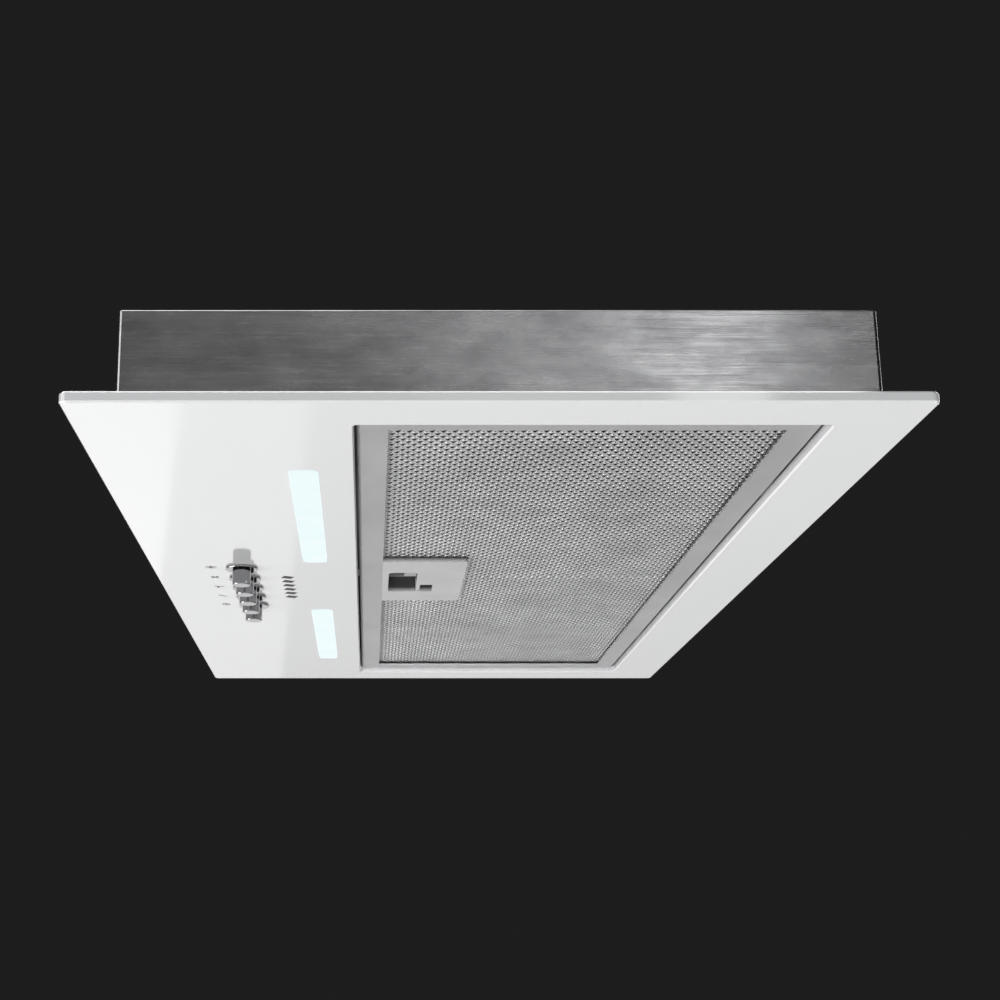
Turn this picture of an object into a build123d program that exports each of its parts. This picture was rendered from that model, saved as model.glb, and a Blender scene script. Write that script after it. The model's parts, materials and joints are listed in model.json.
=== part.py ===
from build123d import *
import os
from math import cos, radians, sin, sqrt

# Range hood that hangs under a kitchen cabinet: a glass panel with the controls, lamps and a
# swing-down grease filter, a shallow steel body screwed up under the cabinet, and a centrifugal
# blower on the body's deck that pushes the air out through a duct spigot.
#
# Frame: millimetres, +Z up, +X along the long side, front (controls) towards -Y.
# Origin: centre of the four cabinet screws, on the top of the deck, the plane that meets the
# cabinet. The glass panel is centred on the same vertical line.

# ---- driving dimensions ------------------------------------------------------------------------
# glass panel
PANEL_LENGTH = 530.0
PANEL_DEPTH = 290.0
PANEL_THICKNESS = 4.0
PANEL_CORNER = 3.0
PANEL_ARRIS = 0.6
# body
WALL_HEIGHT = 35.0  # top of the glass to the deck's top
BODY_END_MARGIN = 15.0  # body wall to the panel's short edge
BODY_FRONT_MARGIN = 16.4
BODY_REAR_MARGIN = 13.6
BODY_BEND = 1.4
SHEET = 0.8
TAPE = 0.5  # bond between the glass and the carrier sheet
TAPE_INSET = 2.0
# filter opening in the glass
OPENING_END_MARGIN = 23.0
OPENING_FRONT_MARGIN = 97.0
OPENING_REAR_MARGIN = 28.6
OPENING_CORNER = 1.5
WEB_GAP = 0.5  # glass edge to the carrier's upturned web
WEB_HEIGHT = 12.0
# filter
FILTER_GAP = 0.8  # glass edge to the filter frame
FILTER_RECESS = 2.5  # frame face above the glass face
FILTER_THICKNESS = 9.0
FRAME_BORDER = 11.2
FRAME_BEVEL_WIDTH = 2.5
FRAME_BEVEL_HEIGHT = 1.4
FRAME_SKIN = 1.0
MESH_RECESS = 2.5  # front mesh above the frame face
MESH_THICKNESS = 0.6
MESH_STEP = 1.6  # spacing of the layers in the pack
PACK_LAYER = 0.35
TAB_X = 150.0
TAB_WIDTH = 20.0
TAB_REACH = 5.5
TAB_THICKNESS = 1.0
TAB_FOOT = 0.6
# latch
LATCH_LENGTH = 82.0
LATCH_DEPTH = 40.0
LATCH_CORNER = 2.0
RECESS_LENGTH = 40.0
RECESS_DEPTH = 14.0
RECESS_MARGIN = 3.0  # frame border to the finger recess
RECESS_CORNER = 3.0
HOUSING_WALL = 3.0
SLIDER_WIDTH = 20.0
SLIDER_THICKNESS = 1.9
SLIDE_CLEARANCE = 0.1
LATCH_TRAVEL = 6.0
LIP_LENGTH = 14.0
LIP_THICKNESS = 2.0
TONGUE_WIDTH = 14.0
TONGUE_THICKNESS = 0.5
TONGUE_REACH = 2.0  # past the web's front face
# push buttons
BUTTON_COUNT = 5
BUTTON_PITCH = 20.0
BUTTON_FRONT_MARGIN = 42.4
BUTTON_RADIUS = 4.35
BUTTON_REACH = 8.5  # tip below the glass
BUTTON_TRAVEL = 3.5
BUTTON_CHAMFER = 0.35
STEM_RADIUS = 2.5
STEM_HEAD_RADIUS = 3.4
STEM_HEAD_HEIGHT = 1.5
BUTTON_CLEARANCE = 0.08
BEZEL_RADIUS = 7.7
BEZEL_HEIGHT = 1.0
SLEEVE_RADIUS = 5.4
SLEEVE_HOLE_CLEARANCE = 0.2
SWITCH_LENGTH = 112.0
SWITCH_DEPTH = 22.0
SWITCH_HEIGHT = 16.0
SWITCH_LUG = 10.0
SPRING_WIRE = 0.6
SPRING_RADIUS = 3.3
SPRING_TURNS = 5
BOARD_THICKNESS = 1.6
CONTACT_HEIGHT = 3.0
CONNECTOR_LENGTH = 8.0
STUD_RADIUS = 1.5
STUD_HEIGHT = 6.0
NUT_RADIUS = 3.1
NUT_HEIGHT = 2.4
# lamps
LAMP_X = 121.4
LAMP_FRONT_MARGIN = 77.5
LAMP_LENGTH = 140.0
LAMP_DEPTH = 11.0
LAMP_CORNER = 2.6
LAMP_REACH = 0.3  # lens face below the glass
LAMP_CLEARANCE = 0.2
LENS_FLANGE = 3.0
LAMP_HOUSING_HEIGHT = 10.0
LED_COUNT = 12
# electrics
DRIVER_LENGTH = 70.0
DRIVER_DEPTH = 26.0
DRIVER_HEIGHT = 18.0
DRIVER_X = 125.0
TERMINAL_LENGTH = 60.0
TERMINAL_DEPTH = 60.0
TERMINAL_HEIGHT = 26.0
TERMINAL_X = 138.0
TERMINAL_WALL = 2.0
TERMINAL_LID = 2.0
TERMINAL_OFFSET = 2.0  # box centre in front of the partition
TERMINAL_CORNER = 4.0
TERMINAL_POST = 3.5
TERMINAL_POST_INSET = 4.8
TERMINAL_SCREW = 1.2
TERMINAL_SCREW_DEPTH = 8.0
STRIP_COUNT = 3
STRIP_PITCH = 10.0
STRIP_HEIGHT = 12.0
GLAND_OFFSET = 12.0  # gland's axis from the box's middle
GLAND_WALL = 1.5  # nut to the thread
LEAD_RADIUS = 2.5
LEAD_BEND = 9.0
GLAND_BORE = 3.6
GLAND_RADIUS = 7.5
GLAND_LENGTH = 18.0
CABLE_ROOM = 6.0  # mains cable's axis to the capacitor
CAPACITOR_RADIUS = 14.0
CAPACITOR_LENGTH = 48.0
STRAP = 1.0  # sheet of the capacitor's strap
STRAP_WIDTH = 12.0
STRAP_FOOT = 9.0
# cabinet screws
SCREW_SPACING_X = 450.0
SCREW_SPACING_Y = 80.0
SCREW_HOLE_RADIUS = 2.75
# blower
BLOWER_Y = 20.0
IMPELLER_RADIUS = 65.0
IMPELLER_BLADE_WIDTH = 11.0
IMPELLER_BASE = 6.0  # inlet side of the impeller above the deck
IMPELLER_HEIGHT = 50.0
BLADE_COUNT = 36
BLADE_THICKNESS = 0.9
SCROLL_GAP = 7.0  # impeller to the narrow side of the scroll
SCROLL_GROWTH = 8.0  # added at each quarter turn
SCROLL_HEIGHT = 62.0
OUTLET_WIDTH = 66.0
COLLECTOR_OFFSET = 6.0  # collector's near face beyond the scroll's start
SCROLL_SPLIT = 30.0
SCROLL_WALL = 2.0
INLET_RADIUS = 52.0
INLET_WALL = 2.0
INLET_FLANGE = 10.0
GUARD_THICKNESS = 2.0
EAR_RADIUS = 5.0
MOTOR_RADIUS = 38.0
MOTOR_WALL = 1.5
CAN_BOTTOM = 24.0  # outer face of the can's floor
STATOR_BOTTOM = 34.0
STATOR_TOP = 54.0
STATOR_BORE = 20.0
ROTOR_GAP = 0.5
WINDING_OUTER = 33.0
WINDING_INNER = 22.0
WINDING_BELOW = 3.0
WINDING_ABOVE = 6.0
BEARING_RADIUS = 9.0
BEARING_LENGTH = 5.0
BEARING_WALL = 2.0  # boss round each bearing
CAP_SKIN = 2.0
MOTOR_SCREW = 1.6
SCROLL_SCREW = 1.6
MOTOR_FLANGE = 50.0
MOTOR_CAP_HEIGHT = 14.0
SHAFT_RADIUS = 4.0
SHAFT_CLEARANCE = 0.03
HUB_GAP = 3.0  # motor can to the impeller's cup
# outlet
COLLECTOR_HALF = 64.0
COLLECTOR_HEIGHT = 75.0
COLLECTOR_CORNER = 10.0
COLLECTOR_EDGE = 3.0
SPIGOT_RADIUS = 59.6
SPIGOT_WALL = 1.8
SPIGOT_HEIGHT = 43.0
SPIGOT_FLANGE = 5.4
SPIGOT_FLANGE_THICKNESS = 2.0
SPIGOT_EAR = 4.0  # radius of the flange round each screw
DAMPER_LIFT = 14.0  # damper axis above the spigot's flange
DAMPER_PIN = 1.5
DAMPER_PIN_CLEARANCE = 0.05
DAMPER_GAP = 1.0  # flap rim to the spigot's wall
DAMPER_THICKNESS = 1.2
KNUCKLE_RADIUS = 3.0
KNUCKLE_LENGTH = 10.0
SEAT_WIDTH = 2.6

# ---- derived places ----------------------------------------------------------------------------
FRONT = -PANEL_DEPTH / 2
REAR = PANEL_DEPTH / 2
GLASS_TOP = -WALL_HEIGHT
GLASS_FACE = GLASS_TOP - PANEL_THICKNESS
CARRIER_BOTTOM = GLASS_TOP + TAPE
CARRIER_TOP = CARRIER_BOTTOM + SHEET
BODY_HALF = PANEL_LENGTH / 2 - BODY_END_MARGIN
BODY_FRONT = FRONT + BODY_FRONT_MARGIN
BODY_REAR = REAR - BODY_REAR_MARGIN
OPENING_HALF = PANEL_LENGTH / 2 - OPENING_END_MARGIN
OPENING_FRONT = FRONT + OPENING_FRONT_MARGIN
OPENING_REAR = REAR - OPENING_REAR_MARGIN
FILTER_HALF = OPENING_HALF - FILTER_GAP
FILTER_FRONT = OPENING_FRONT + FILTER_GAP
FILTER_REAR = OPENING_REAR - FILTER_GAP
FILTER_FACE = GLASS_FACE + FILTER_RECESS
FILTER_TOP = FILTER_FACE + FILTER_THICKNESS
SLOT_BOTTOM = FILTER_FACE + FRAME_SKIN
SLOT_TOP = FILTER_TOP - FRAME_SKIN
MESH_FACE = FILTER_FACE + MESH_RECESS
PACK_BOTTOM = MESH_FACE + MESH_THICKNESS
PACK_TOP = SLOT_TOP - MESH_THICKNESS
BORDER_FRONT = FILTER_FRONT + FRAME_BORDER
RECESS_FRONT = BORDER_FRONT + RECESS_MARGIN
RECESS_REAR = RECESS_FRONT + RECESS_DEPTH
SLIDER_TOP = SLOT_TOP - 0.5
SLIDER_BOTTOM = SLIDER_TOP - SLIDER_THICKNESS
SLIDER_REAR = RECESS_REAR + LIP_THICKNESS
CHANNEL_REAR = SLIDER_REAR + LATCH_TRAVEL + 2.0
HOUSING_REAR = CHANNEL_REAR + HOUSING_WALL
HOUSING_HALF = RECESS_LENGTH / 2 + HOUSING_WALL
WEB_FRONT = OPENING_FRONT - WEB_GAP - SHEET
BUTTON_Y = FRONT + BUTTON_FRONT_MARGIN
BUTTON_TIP = GLASS_FACE - BUTTON_REACH
BUTTON_XS = [(i - (BUTTON_COUNT - 1) / 2) * BUTTON_PITCH for i in range(BUTTON_COUNT)]
BUTTON_SHOULDER = GLASS_TOP + 5.0
SWITCH_TOP = CARRIER_TOP + SWITCH_HEIGHT
SPRING_SEAT = SWITCH_TOP - 4.3
HEAD_BOTTOM = SWITCH_TOP + 0.05
CONTACT_BOTTOM = HEAD_BOTTOM + STEM_HEAD_HEIGHT + BUTTON_TRAVEL + 0.25
BOARD_BOTTOM = CONTACT_BOTTOM + CONTACT_HEIGHT
LAMP_Y = FRONT + LAMP_FRONT_MARGIN
LAMP_HOUSING_TOP = CARRIER_TOP + LAMP_HOUSING_HEIGHT
SCROLL_START = IMPELLER_RADIUS + SCROLL_GAP
ARC_A = SCROLL_START + SCROLL_GROWTH / 2
ARC_B = ARC_A + SCROLL_GROWTH
ARC_C = ARC_B + SCROLL_GROWTH
CENTRE_A = (ARC_A - SCROLL_START, BLOWER_Y)
CENTRE_B = (CENTRE_A[0], BLOWER_Y + ARC_B - ARC_A)
CENTRE_C = (CENTRE_A[0] - (ARC_C - ARC_B), CENTRE_B[1])
OUTLET_OUTER = CENTRE_C[1] + ARC_C
OUTLET_INNER = OUTLET_OUTER - OUTLET_WIDTH
COLLECTOR_FACE = -SCROLL_START - COLLECTOR_OFFSET
SPIGOT_X = COLLECTOR_FACE - COLLECTOR_HALF
SPIGOT_Y = OUTLET_OUTER + SCROLL_WALL - COLLECTOR_HALF
SPIGOT_BASE = COLLECTOR_HEIGHT + SPIGOT_FLANGE_THICKNESS
SPIGOT_BORE = SPIGOT_RADIUS - SPIGOT_WALL
DAMPER_Z = SPIGOT_BASE + DAMPER_LIFT
TERMINAL_Y = WEB_FRONT - TERMINAL_OFFSET
CUP_INNER = MOTOR_RADIUS + HUB_GAP
IMPELLER_TOP = IMPELLER_BASE + IMPELLER_HEIGHT
MOTOR_TOP = SCROLL_HEIGHT + MOTOR_WALL


# ---- helpers -----------------------------------------------------------------------------------
def block(x0, x1, y0, y1, z0, z1):
    """Box between two corners."""
    middle = Pos((x0 + x1) / 2, (y0 + y1) / 2, (z0 + z1) / 2)
    return middle * Box(x1 - x0, y1 - y0, z1 - z0)


def plate(x0, x1, y0, y1, z0, z1, corner):
    """Box whose upright edges are rounded."""
    outline = Pos((x0 + x1) / 2, (y0 + y1) / 2, z0) * RectangleRounded(x1 - x0, y1 - y0, corner)
    return extrude(outline, z1 - z0, dir=(0, 0, 1))


def disc(x, y, z0, z1, radius):
    """Upright cylinder."""
    return Pos(x, y, (z0 + z1) / 2) * Cylinder(radius, z1 - z0)


def tube(x, y, z0, z1, outer, inner):
    """Upright tube."""
    return disc(x, y, z0, z1, outer) - disc(x, y, z0, z1, inner)


def hexagon(x, y, z0, z1, radius):
    """Upright hexagonal prism."""
    return extrude(Pos(x, y, z0) * RegularPolygon(radius, 6), z1 - z0, dir=(0, 0, 1))


def rod_y(x, y0, y1, z, radius):
    """Cylinder along Y."""
    return Pos(x, (y0 + y1) / 2, z) * Rot(90, 0, 0) * Cylinder(radius, y1 - y0)


def group(pieces):
    """Separate solids that share one node."""
    return Compound(children=list(pieces))


def join(pieces):
    """One solid from pieces that overlap or touch."""
    result = pieces[0]
    for piece in pieces[1:]:
        result = result + piece
    return result


def coil(radius, wire, length, turns):
    """Compression spring along +Z from the origin, between its wire's outer faces."""
    rise = length - wire
    path = Pos(0, 0, wire / 2) * Helix(rise / turns, rise, radius)
    start = Plane(origin=path @ 0, z_dir=path % 0)
    return sweep(start * Circle(wire / 2), path=path, is_frenet=True)


def pan_screw(x, y, z, radius, shank):
    """Pan-head screw standing on z with its shank below."""
    head = disc(x, y, z, z + 0.9 * radius, 2 * radius)
    recess = block(x - radius, x + radius, y - 0.2 * radius, y + 0.2 * radius, z + 0.5 * radius, z + radius)
    return head - recess + disc(x, y, z - shank, z, radius)


# ---- panel and body ----------------------------------------------------------------------------
def lamp_centres():
    return [-LAMP_X, LAMP_X]


def glass_panel():
    """White glass sheet with the filter opening, two lamp slots and the button holes."""
    half = PANEL_LENGTH / 2
    glass = plate(-half, half, FRONT, REAR, GLASS_FACE, GLASS_TOP, PANEL_CORNER)
    glass = chamfer(glass.edges().filter_by(Plane.XY), PANEL_ARRIS)
    opening = plate(
        -OPENING_HALF, OPENING_HALF, OPENING_FRONT, OPENING_REAR, GLASS_FACE, GLASS_TOP, OPENING_CORNER
    )
    glass = glass - opening
    rim = [e for e in glass.faces().sort_by(Axis.Z)[0].inner_wires()[0].edges()]
    glass = chamfer(rim, PANEL_ARRIS)
    for x in lamp_centres():
        glass = glass - lamp_outline(x, LAMP_CLEARANCE, GLASS_FACE, GLASS_TOP)
    for x in BUTTON_XS:
        glass = glass - disc(x, BUTTON_Y, GLASS_FACE, GLASS_TOP, SLEEVE_RADIUS + SLEEVE_HOLE_CLEARANCE)
    return glass


def lamp_outline(x, margin, z0, z1):
    """Round-ended slot shape of one lamp, grown by a margin."""
    half_x = LAMP_LENGTH / 2 + margin
    half_y = LAMP_DEPTH / 2 + margin
    corner = LAMP_CORNER + margin
    return plate(x - half_x, x + half_x, LAMP_Y - half_y, LAMP_Y + half_y, z0, z1, corner)


def carrier_cuts(z0, z1, margin):
    """Openings through the tape and the carrier sheet."""
    grow = WEB_GAP + margin
    cuts = [
        block(
            -OPENING_HALF - grow, OPENING_HALF + grow, OPENING_FRONT - grow, OPENING_REAR + grow, z0, z1
        )
    ]
    cuts += [lamp_outline(x, LENS_FLANGE + LAMP_CLEARANCE, z0, z1) for x in lamp_centres()]
    cuts += [disc(x, BUTTON_Y, z0, z1, SLEEVE_RADIUS + 2 * SLEEVE_HOLE_CLEARANCE) for x in BUTTON_XS]
    return cuts


def panel_tape():
    """Adhesive sheet between the glass and the carrier."""
    half = BODY_HALF - TAPE_INSET
    tape = block(
        -half, half, BODY_FRONT + TAPE_INSET, BODY_REAR - TAPE_INSET, GLASS_TOP, CARRIER_BOTTOM
    )
    for cut in carrier_cuts(GLASS_TOP, CARRIER_BOTTOM, SHEET):
        tape = tape - cut
    return tape


def switch_stud_xs():
    offset = SWITCH_LENGTH / 2 + SWITCH_LUG / 2
    return [-offset, offset]


def tab_window(x):
    """Window in the rear web for one filter tab."""
    half = TAB_WIDTH / 2 + 1.0
    web = OPENING_REAR + WEB_GAP
    return block(x - half, x + half, web - 1, web + SHEET + 1, CARRIER_TOP, CARRIER_TOP + 8.0)


def panel_carrier():
    """Bottom sheet of the body, with a web turned up round the filter opening."""
    half = BODY_HALF - SHEET
    front = BODY_FRONT + SHEET
    rear = BODY_REAR - SHEET
    sheet = block(-half, half, front, rear, CARRIER_BOTTOM, CARRIER_TOP)
    outer = WEB_GAP + SHEET
    web = block(
        -OPENING_HALF - outer,
        OPENING_HALF + outer,
        OPENING_FRONT - outer,
        OPENING_REAR + outer,
        CARRIER_BOTTOM,
        CARRIER_BOTTOM + WEB_HEIGHT,
    )
    sheet = sheet + web
    for cut in carrier_cuts(CARRIER_BOTTOM, CARRIER_BOTTOM + WEB_HEIGHT, 0):
        sheet = sheet - cut
    for x in (-TAB_X, TAB_X):
        sheet = sheet - tab_window(x)
    strike_half = TONGUE_WIDTH / 2 + 1.0
    sheet = sheet - block(
        -strike_half,
        strike_half,
        WEB_FRONT - 1,
        WEB_FRONT + SHEET + 0.1,
        SLIDER_BOTTOM - TONGUE_THICKNESS - 0.15,
        SLIDER_BOTTOM + 0.5,
    )
    for x in switch_stud_xs():
        sheet = sheet + disc(x, BUTTON_Y, CARRIER_TOP, CARRIER_TOP + STUD_HEIGHT, STUD_RADIUS)
    return sheet


def cabinet_screw_points():
    return [
        (sx * SCREW_SPACING_X / 2, sy * SCREW_SPACING_Y / 2) for sx in (-1, 1) for sy in (-1, 1)
    ]


def body_shell():
    """Steel deck and four walls, open underneath, standing on the edge of the carrier."""
    outer = block(-BODY_HALF, BODY_HALF, BODY_FRONT, BODY_REAR, CARRIER_BOTTOM, 0)
    outer = fillet(outer.edges().filter_by(Axis.Z), BODY_BEND)
    outer = fillet(outer.faces().sort_by(Axis.Z)[-1].edges(), 0.7 * SHEET)
    inner = block(
        -BODY_HALF + SHEET,
        BODY_HALF - SHEET,
        BODY_FRONT + SHEET,
        BODY_REAR - SHEET,
        CARRIER_BOTTOM,
        -SHEET,
    )
    shell = outer - inner
    shell = shell - disc(0, BLOWER_Y, -SHEET, 0, INLET_RADIUS + INLET_WALL + 0.2)
    for x, y in cabinet_screw_points():
        shell = shell - disc(x, y, -SHEET, 0, SCREW_HOLE_RADIUS)
    lead_x, lead_y = lead_hole()
    return shell - disc(lead_x, lead_y, -SHEET, 0, LEAD_RADIUS + 3.0)


def electrics_partition():
    """Sheet that keeps grease out of the front compartment."""
    rear = WEB_FRONT - TONGUE_REACH - 0.7
    wall = block(
        -BODY_HALF + SHEET, BODY_HALF - SHEET, rear - SHEET, rear, CARRIER_TOP, -SHEET
    )
    flange = block(
        -BODY_HALF + SHEET, BODY_HALF - SHEET, rear - 6.0, rear, -2 * SHEET, -SHEET
    )
    return wall + flange


# ---- filter ------------------------------------------------------------------------------------
def filter_box(inset, z0, z1):
    """Block on the filter's outline, inset all round."""
    return block(
        -FILTER_HALF + inset,
        FILTER_HALF - inset,
        FILTER_FRONT + inset,
        FILTER_REAR - inset,
        z0,
        z1,
    )


def latch_notch(margin, z0, z1):
    """Room that the latch housing takes in the frame's slot and the mesh layers."""
    return block(
        -HOUSING_HALF - margin,
        HOUSING_HALF + margin,
        FILTER_FRONT + FRAME_SKIN,
        HOUSING_REAR + margin,
        z0,
        z1,
    )


def filter_frame():
    """Folded aluminium channel with a bevelled outer edge; the mesh layers sit in its slot."""
    frame = filter_box(0, FILTER_FACE, FILTER_TOP)
    face = frame.faces().sort_by(Axis.Z)[0]
    frame = chamfer(face.edges(), FRAME_BEVEL_HEIGHT, FRAME_BEVEL_WIDTH, reference=face)
    frame = frame - filter_box(FRAME_BORDER, FILTER_FACE, FILTER_TOP)
    frame = frame - filter_box(FRAME_BORDER - 5.0, SLOT_BOTTOM, MESH_FACE)
    frame = frame - filter_box(FRAME_SKIN, MESH_FACE, SLOT_TOP)
    tongue_half = TONGUE_WIDTH / 2 + 0.5
    return frame - block(
        -tongue_half,
        tongue_half,
        FILTER_FRONT - 1,
        FILTER_FRONT + FRAME_SKIN,
        SLIDER_BOTTOM - TONGUE_THICKNESS - 0.4,
        SLIDER_BOTTOM + 0.4,
    )


def mesh_sheet(z0, z1):
    """One mesh layer that fills the frame's slot, cut away for the latch housing."""
    return filter_box(FRAME_SKIN, z0, z1) - latch_notch(0, z0, z1)


def mesh_pack():
    """Loose inner layers between the two outer sheets."""
    layers = []
    z = PACK_BOTTOM + 0.6
    while z + PACK_LAYER < PACK_TOP:
        layers.append(mesh_sheet(z, z + PACK_LAYER))
        z += MESH_STEP
    return group(layers)


def filter_rear_tabs():
    """Two tongues on the rear edge that hook over the carrier."""
    bottom = CARRIER_TOP + 0.1
    tabs = []
    for x in (-TAB_X, TAB_X):
        half = TAB_WIDTH / 2
        x0 = x - half
        x1 = x + half
        tongue = block(x0, x1, FILTER_REAR, FILTER_REAR + TAB_REACH, bottom, bottom + TAB_THICKNESS)
        foot = block(x0, x1, FILTER_REAR, FILTER_REAR + TAB_FOOT, bottom, FILTER_TOP)
        tabs.append(tongue + foot)
    return group(tabs)


def latch_housing():
    """Plate with a finger recess, and the box behind it that guides the slider."""
    half = LATCH_LENGTH / 2
    rear = BORDER_FRONT + LATCH_DEPTH
    body = plate(-half, half, BORDER_FRONT - 2, rear, FILTER_FACE, MESH_FACE, LATCH_CORNER)
    body = body - block(-half, half, BORDER_FRONT - 4, BORDER_FRONT, FILTER_FACE, MESH_FACE)
    body = body + latch_notch(0, MESH_FACE, SLOT_TOP)
    body = body - plate(
        -RECESS_LENGTH / 2,
        RECESS_LENGTH / 2,
        RECESS_FRONT,
        RECESS_REAR,
        FILTER_FACE,
        SLIDER_TOP,
        RECESS_CORNER,
    )
    gap = SLIDE_CLEARANCE
    body = body - block(
        -SLIDER_WIDTH / 2 - gap,
        SLIDER_WIDTH / 2 + gap,
        FILTER_FRONT + FRAME_SKIN,
        SLIDER_REAR + LATCH_TRAVEL + 0.2,
        SLIDER_BOTTOM - gap,
        SLIDER_TOP + gap,
    )
    body = body - block(
        -TONGUE_WIDTH / 2 - gap,
        TONGUE_WIDTH / 2 + gap,
        FILTER_FRONT + FRAME_SKIN,
        RECESS_REAR,
        SLIDER_BOTTOM - TONGUE_THICKNESS - gap,
        SLIDER_BOTTOM,
    )
    body = body - block(
        -2.2, 2.2, RECESS_REAR, CHANNEL_REAR, latch_spring_z() - 1.7, SLIDER_TOP + gap
    )
    lip_x0, lip_x1 = lip_span()
    return body - block(
        lip_x0 - gap,
        lip_x1 + gap,
        RECESS_REAR - 0.5,
        SLIDER_REAR + LATCH_TRAVEL + 0.2,
        FILTER_FACE,
        SLIDER_BOTTOM,
    )


def lip_span():
    """The finger lip stands at the recess's -X end."""
    x0 = -RECESS_LENGTH / 2 + 0.6
    return x0, x0 + LIP_LENGTH


def latch_spring_z():
    return SLIDER_TOP - 1.6


def latch_slider():
    """Sliding bolt carrier with the lip that a fingertip pulls."""
    front = FILTER_FRONT + FRAME_SKIN + 4.0
    slide = block(-SLIDER_WIDTH / 2, SLIDER_WIDTH / 2, front, SLIDER_REAR, SLIDER_BOTTOM, SLIDER_TOP)
    lip_x0, lip_x1 = lip_span()
    lip_top = SLIDER_BOTTOM - SLIDE_CLEARANCE
    lip = block(lip_x0, lip_x1, RECESS_REAR, SLIDER_REAR, FILTER_FACE + 0.4, lip_top)
    lug_x0 = -SLIDER_WIDTH / 2 + 0.5
    lug = block(lug_x0, lip_x1 - 0.5, RECESS_REAR, SLIDER_REAR, SLIDER_BOTTOM - 0.5, SLIDER_BOTTOM)
    return slide + lip + lug


def latch_tongue():
    """Spring-steel strip under the slider; its tip rests over the edge of the strike window."""
    tip = WEB_FRONT - TONGUE_REACH
    return block(
        -TONGUE_WIDTH / 2,
        TONGUE_WIDTH / 2,
        tip,
        RECESS_REAR - 6.0,
        SLIDER_BOTTOM - TONGUE_THICKNESS,
        SLIDER_BOTTOM,
    )


def latch_spring():
    """Small coil spring that pushes the slider towards the front."""
    length = CHANNEL_REAR - SLIDER_REAR
    spring = coil(1.2, 0.3, length, 5)
    return Pos(0, SLIDER_REAR, latch_spring_z()) * Rot(-90, 0, 0) * spring


# ---- controls ----------------------------------------------------------------------------------
def push_button(x):
    """Chromed plunger with its stem and retaining head."""
    cap = disc(x, BUTTON_Y, BUTTON_TIP, BUTTON_SHOULDER, BUTTON_RADIUS)
    cap = chamfer(cap.edges().sort_by(Axis.Z)[0], BUTTON_CHAMFER)
    stem = disc(x, BUTTON_Y, BUTTON_SHOULDER, HEAD_BOTTOM, STEM_RADIUS)
    head = disc(x, BUTTON_Y, HEAD_BOTTOM, HEAD_BOTTOM + STEM_HEAD_HEIGHT, STEM_HEAD_RADIUS)
    return cap + stem + head


def button_bezel(x):
    """Collar on the glass with a sleeve that guides the button through it."""
    collar = disc(x, BUTTON_Y, GLASS_FACE - BEZEL_HEIGHT, GLASS_FACE, BEZEL_RADIUS)
    collar = chamfer(collar.edges().sort_by(Axis.Z)[0], 0.3)
    sleeve = disc(x, BUTTON_Y, GLASS_FACE, GLASS_TOP + 1.6, SLEEVE_RADIUS)
    bore = disc(x, BUTTON_Y, GLASS_FACE - BEZEL_HEIGHT, GLASS_TOP + 1.6, BUTTON_RADIUS + BUTTON_CLEARANCE)
    return collar + sleeve - bore


def button_spring(x):
    """Return spring between the button's shoulder and the switch block."""
    spring = coil(SPRING_RADIUS, SPRING_WIRE, SPRING_SEAT - BUTTON_SHOULDER, SPRING_TURNS)
    return Pos(x, BUTTON_Y, BUTTON_SHOULDER) * spring


def switch_block():
    """Moulded block that guides the five stems, with lugs on the carrier's studs."""
    half = SWITCH_LENGTH / 2
    depth = SWITCH_DEPTH / 2
    body = block(-half, half, BUTTON_Y - depth, BUTTON_Y + depth, CARRIER_TOP, SWITCH_TOP)
    for x in switch_stud_xs():
        lug = SWITCH_LUG / 2
        body = body + block(x - lug, x + lug, BUTTON_Y - 6, BUTTON_Y + 6, CARRIER_TOP, CARRIER_TOP + 2)
        body = body - disc(x, BUTTON_Y, CARRIER_TOP, CARRIER_TOP + 2, STUD_RADIUS + 0.2)
    for x in BUTTON_XS:
        body = body - disc(x, BUTTON_Y, CARRIER_TOP, CARRIER_TOP + 1.6, SLEEVE_RADIUS + 0.6)
        body = body - disc(x, BUTTON_Y, CARRIER_TOP, SPRING_SEAT, BUTTON_RADIUS + 0.15)
        body = body - disc(x, BUTTON_Y, SPRING_SEAT, SWITCH_TOP, STEM_RADIUS + BUTTON_CLEARANCE)
    for sx in (-1, 1):
        post_x = sx * (half - 4)
        body = body + disc(post_x, BUTTON_Y, SWITCH_TOP, BOARD_BOTTOM, 3.0)
    return body


def switch_board():
    """Circuit board that carries the contacts, with the wiring's connector on its end."""
    half = SWITCH_LENGTH / 2
    depth = SWITCH_DEPTH / 2
    top = BOARD_BOTTOM + BOARD_THICKNESS
    board = block(-half, half, BUTTON_Y - depth, BUTTON_Y + depth, BOARD_BOTTOM, top)
    low = lead_height() - LEAD_RADIUS - 0.5
    return board + block(half, half + CONNECTOR_LENGTH, BUTTON_Y - 6, BUTTON_Y + 6, low, top)


def switch_contacts():
    """One contact block over each stem."""
    return group(
        block(x - 5, x + 5, BUTTON_Y - 5, BUTTON_Y + 5, CONTACT_BOTTOM, BOARD_BOTTOM)
        for x in BUTTON_XS
    )


def switch_nuts():
    """Nuts that hold the switch block on the carrier's studs."""
    base = CARRIER_TOP + 2
    return group(
        hexagon(x, BUTTON_Y, base, base + NUT_HEIGHT, NUT_RADIUS)
        - disc(x, BUTTON_Y, base, base + NUT_HEIGHT, STUD_RADIUS)
        for x in switch_stud_xs()
    )


# ---- lamps -------------------------------------------------------------------------------------
def lamp_lens(x):
    """Frosted bar in the glass with a flange behind it."""
    bar = lamp_outline(x, 0, GLASS_FACE - LAMP_REACH, GLASS_TOP)
    return bar + lamp_outline(x, LENS_FLANGE, GLASS_TOP, CARRIER_TOP)


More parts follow.
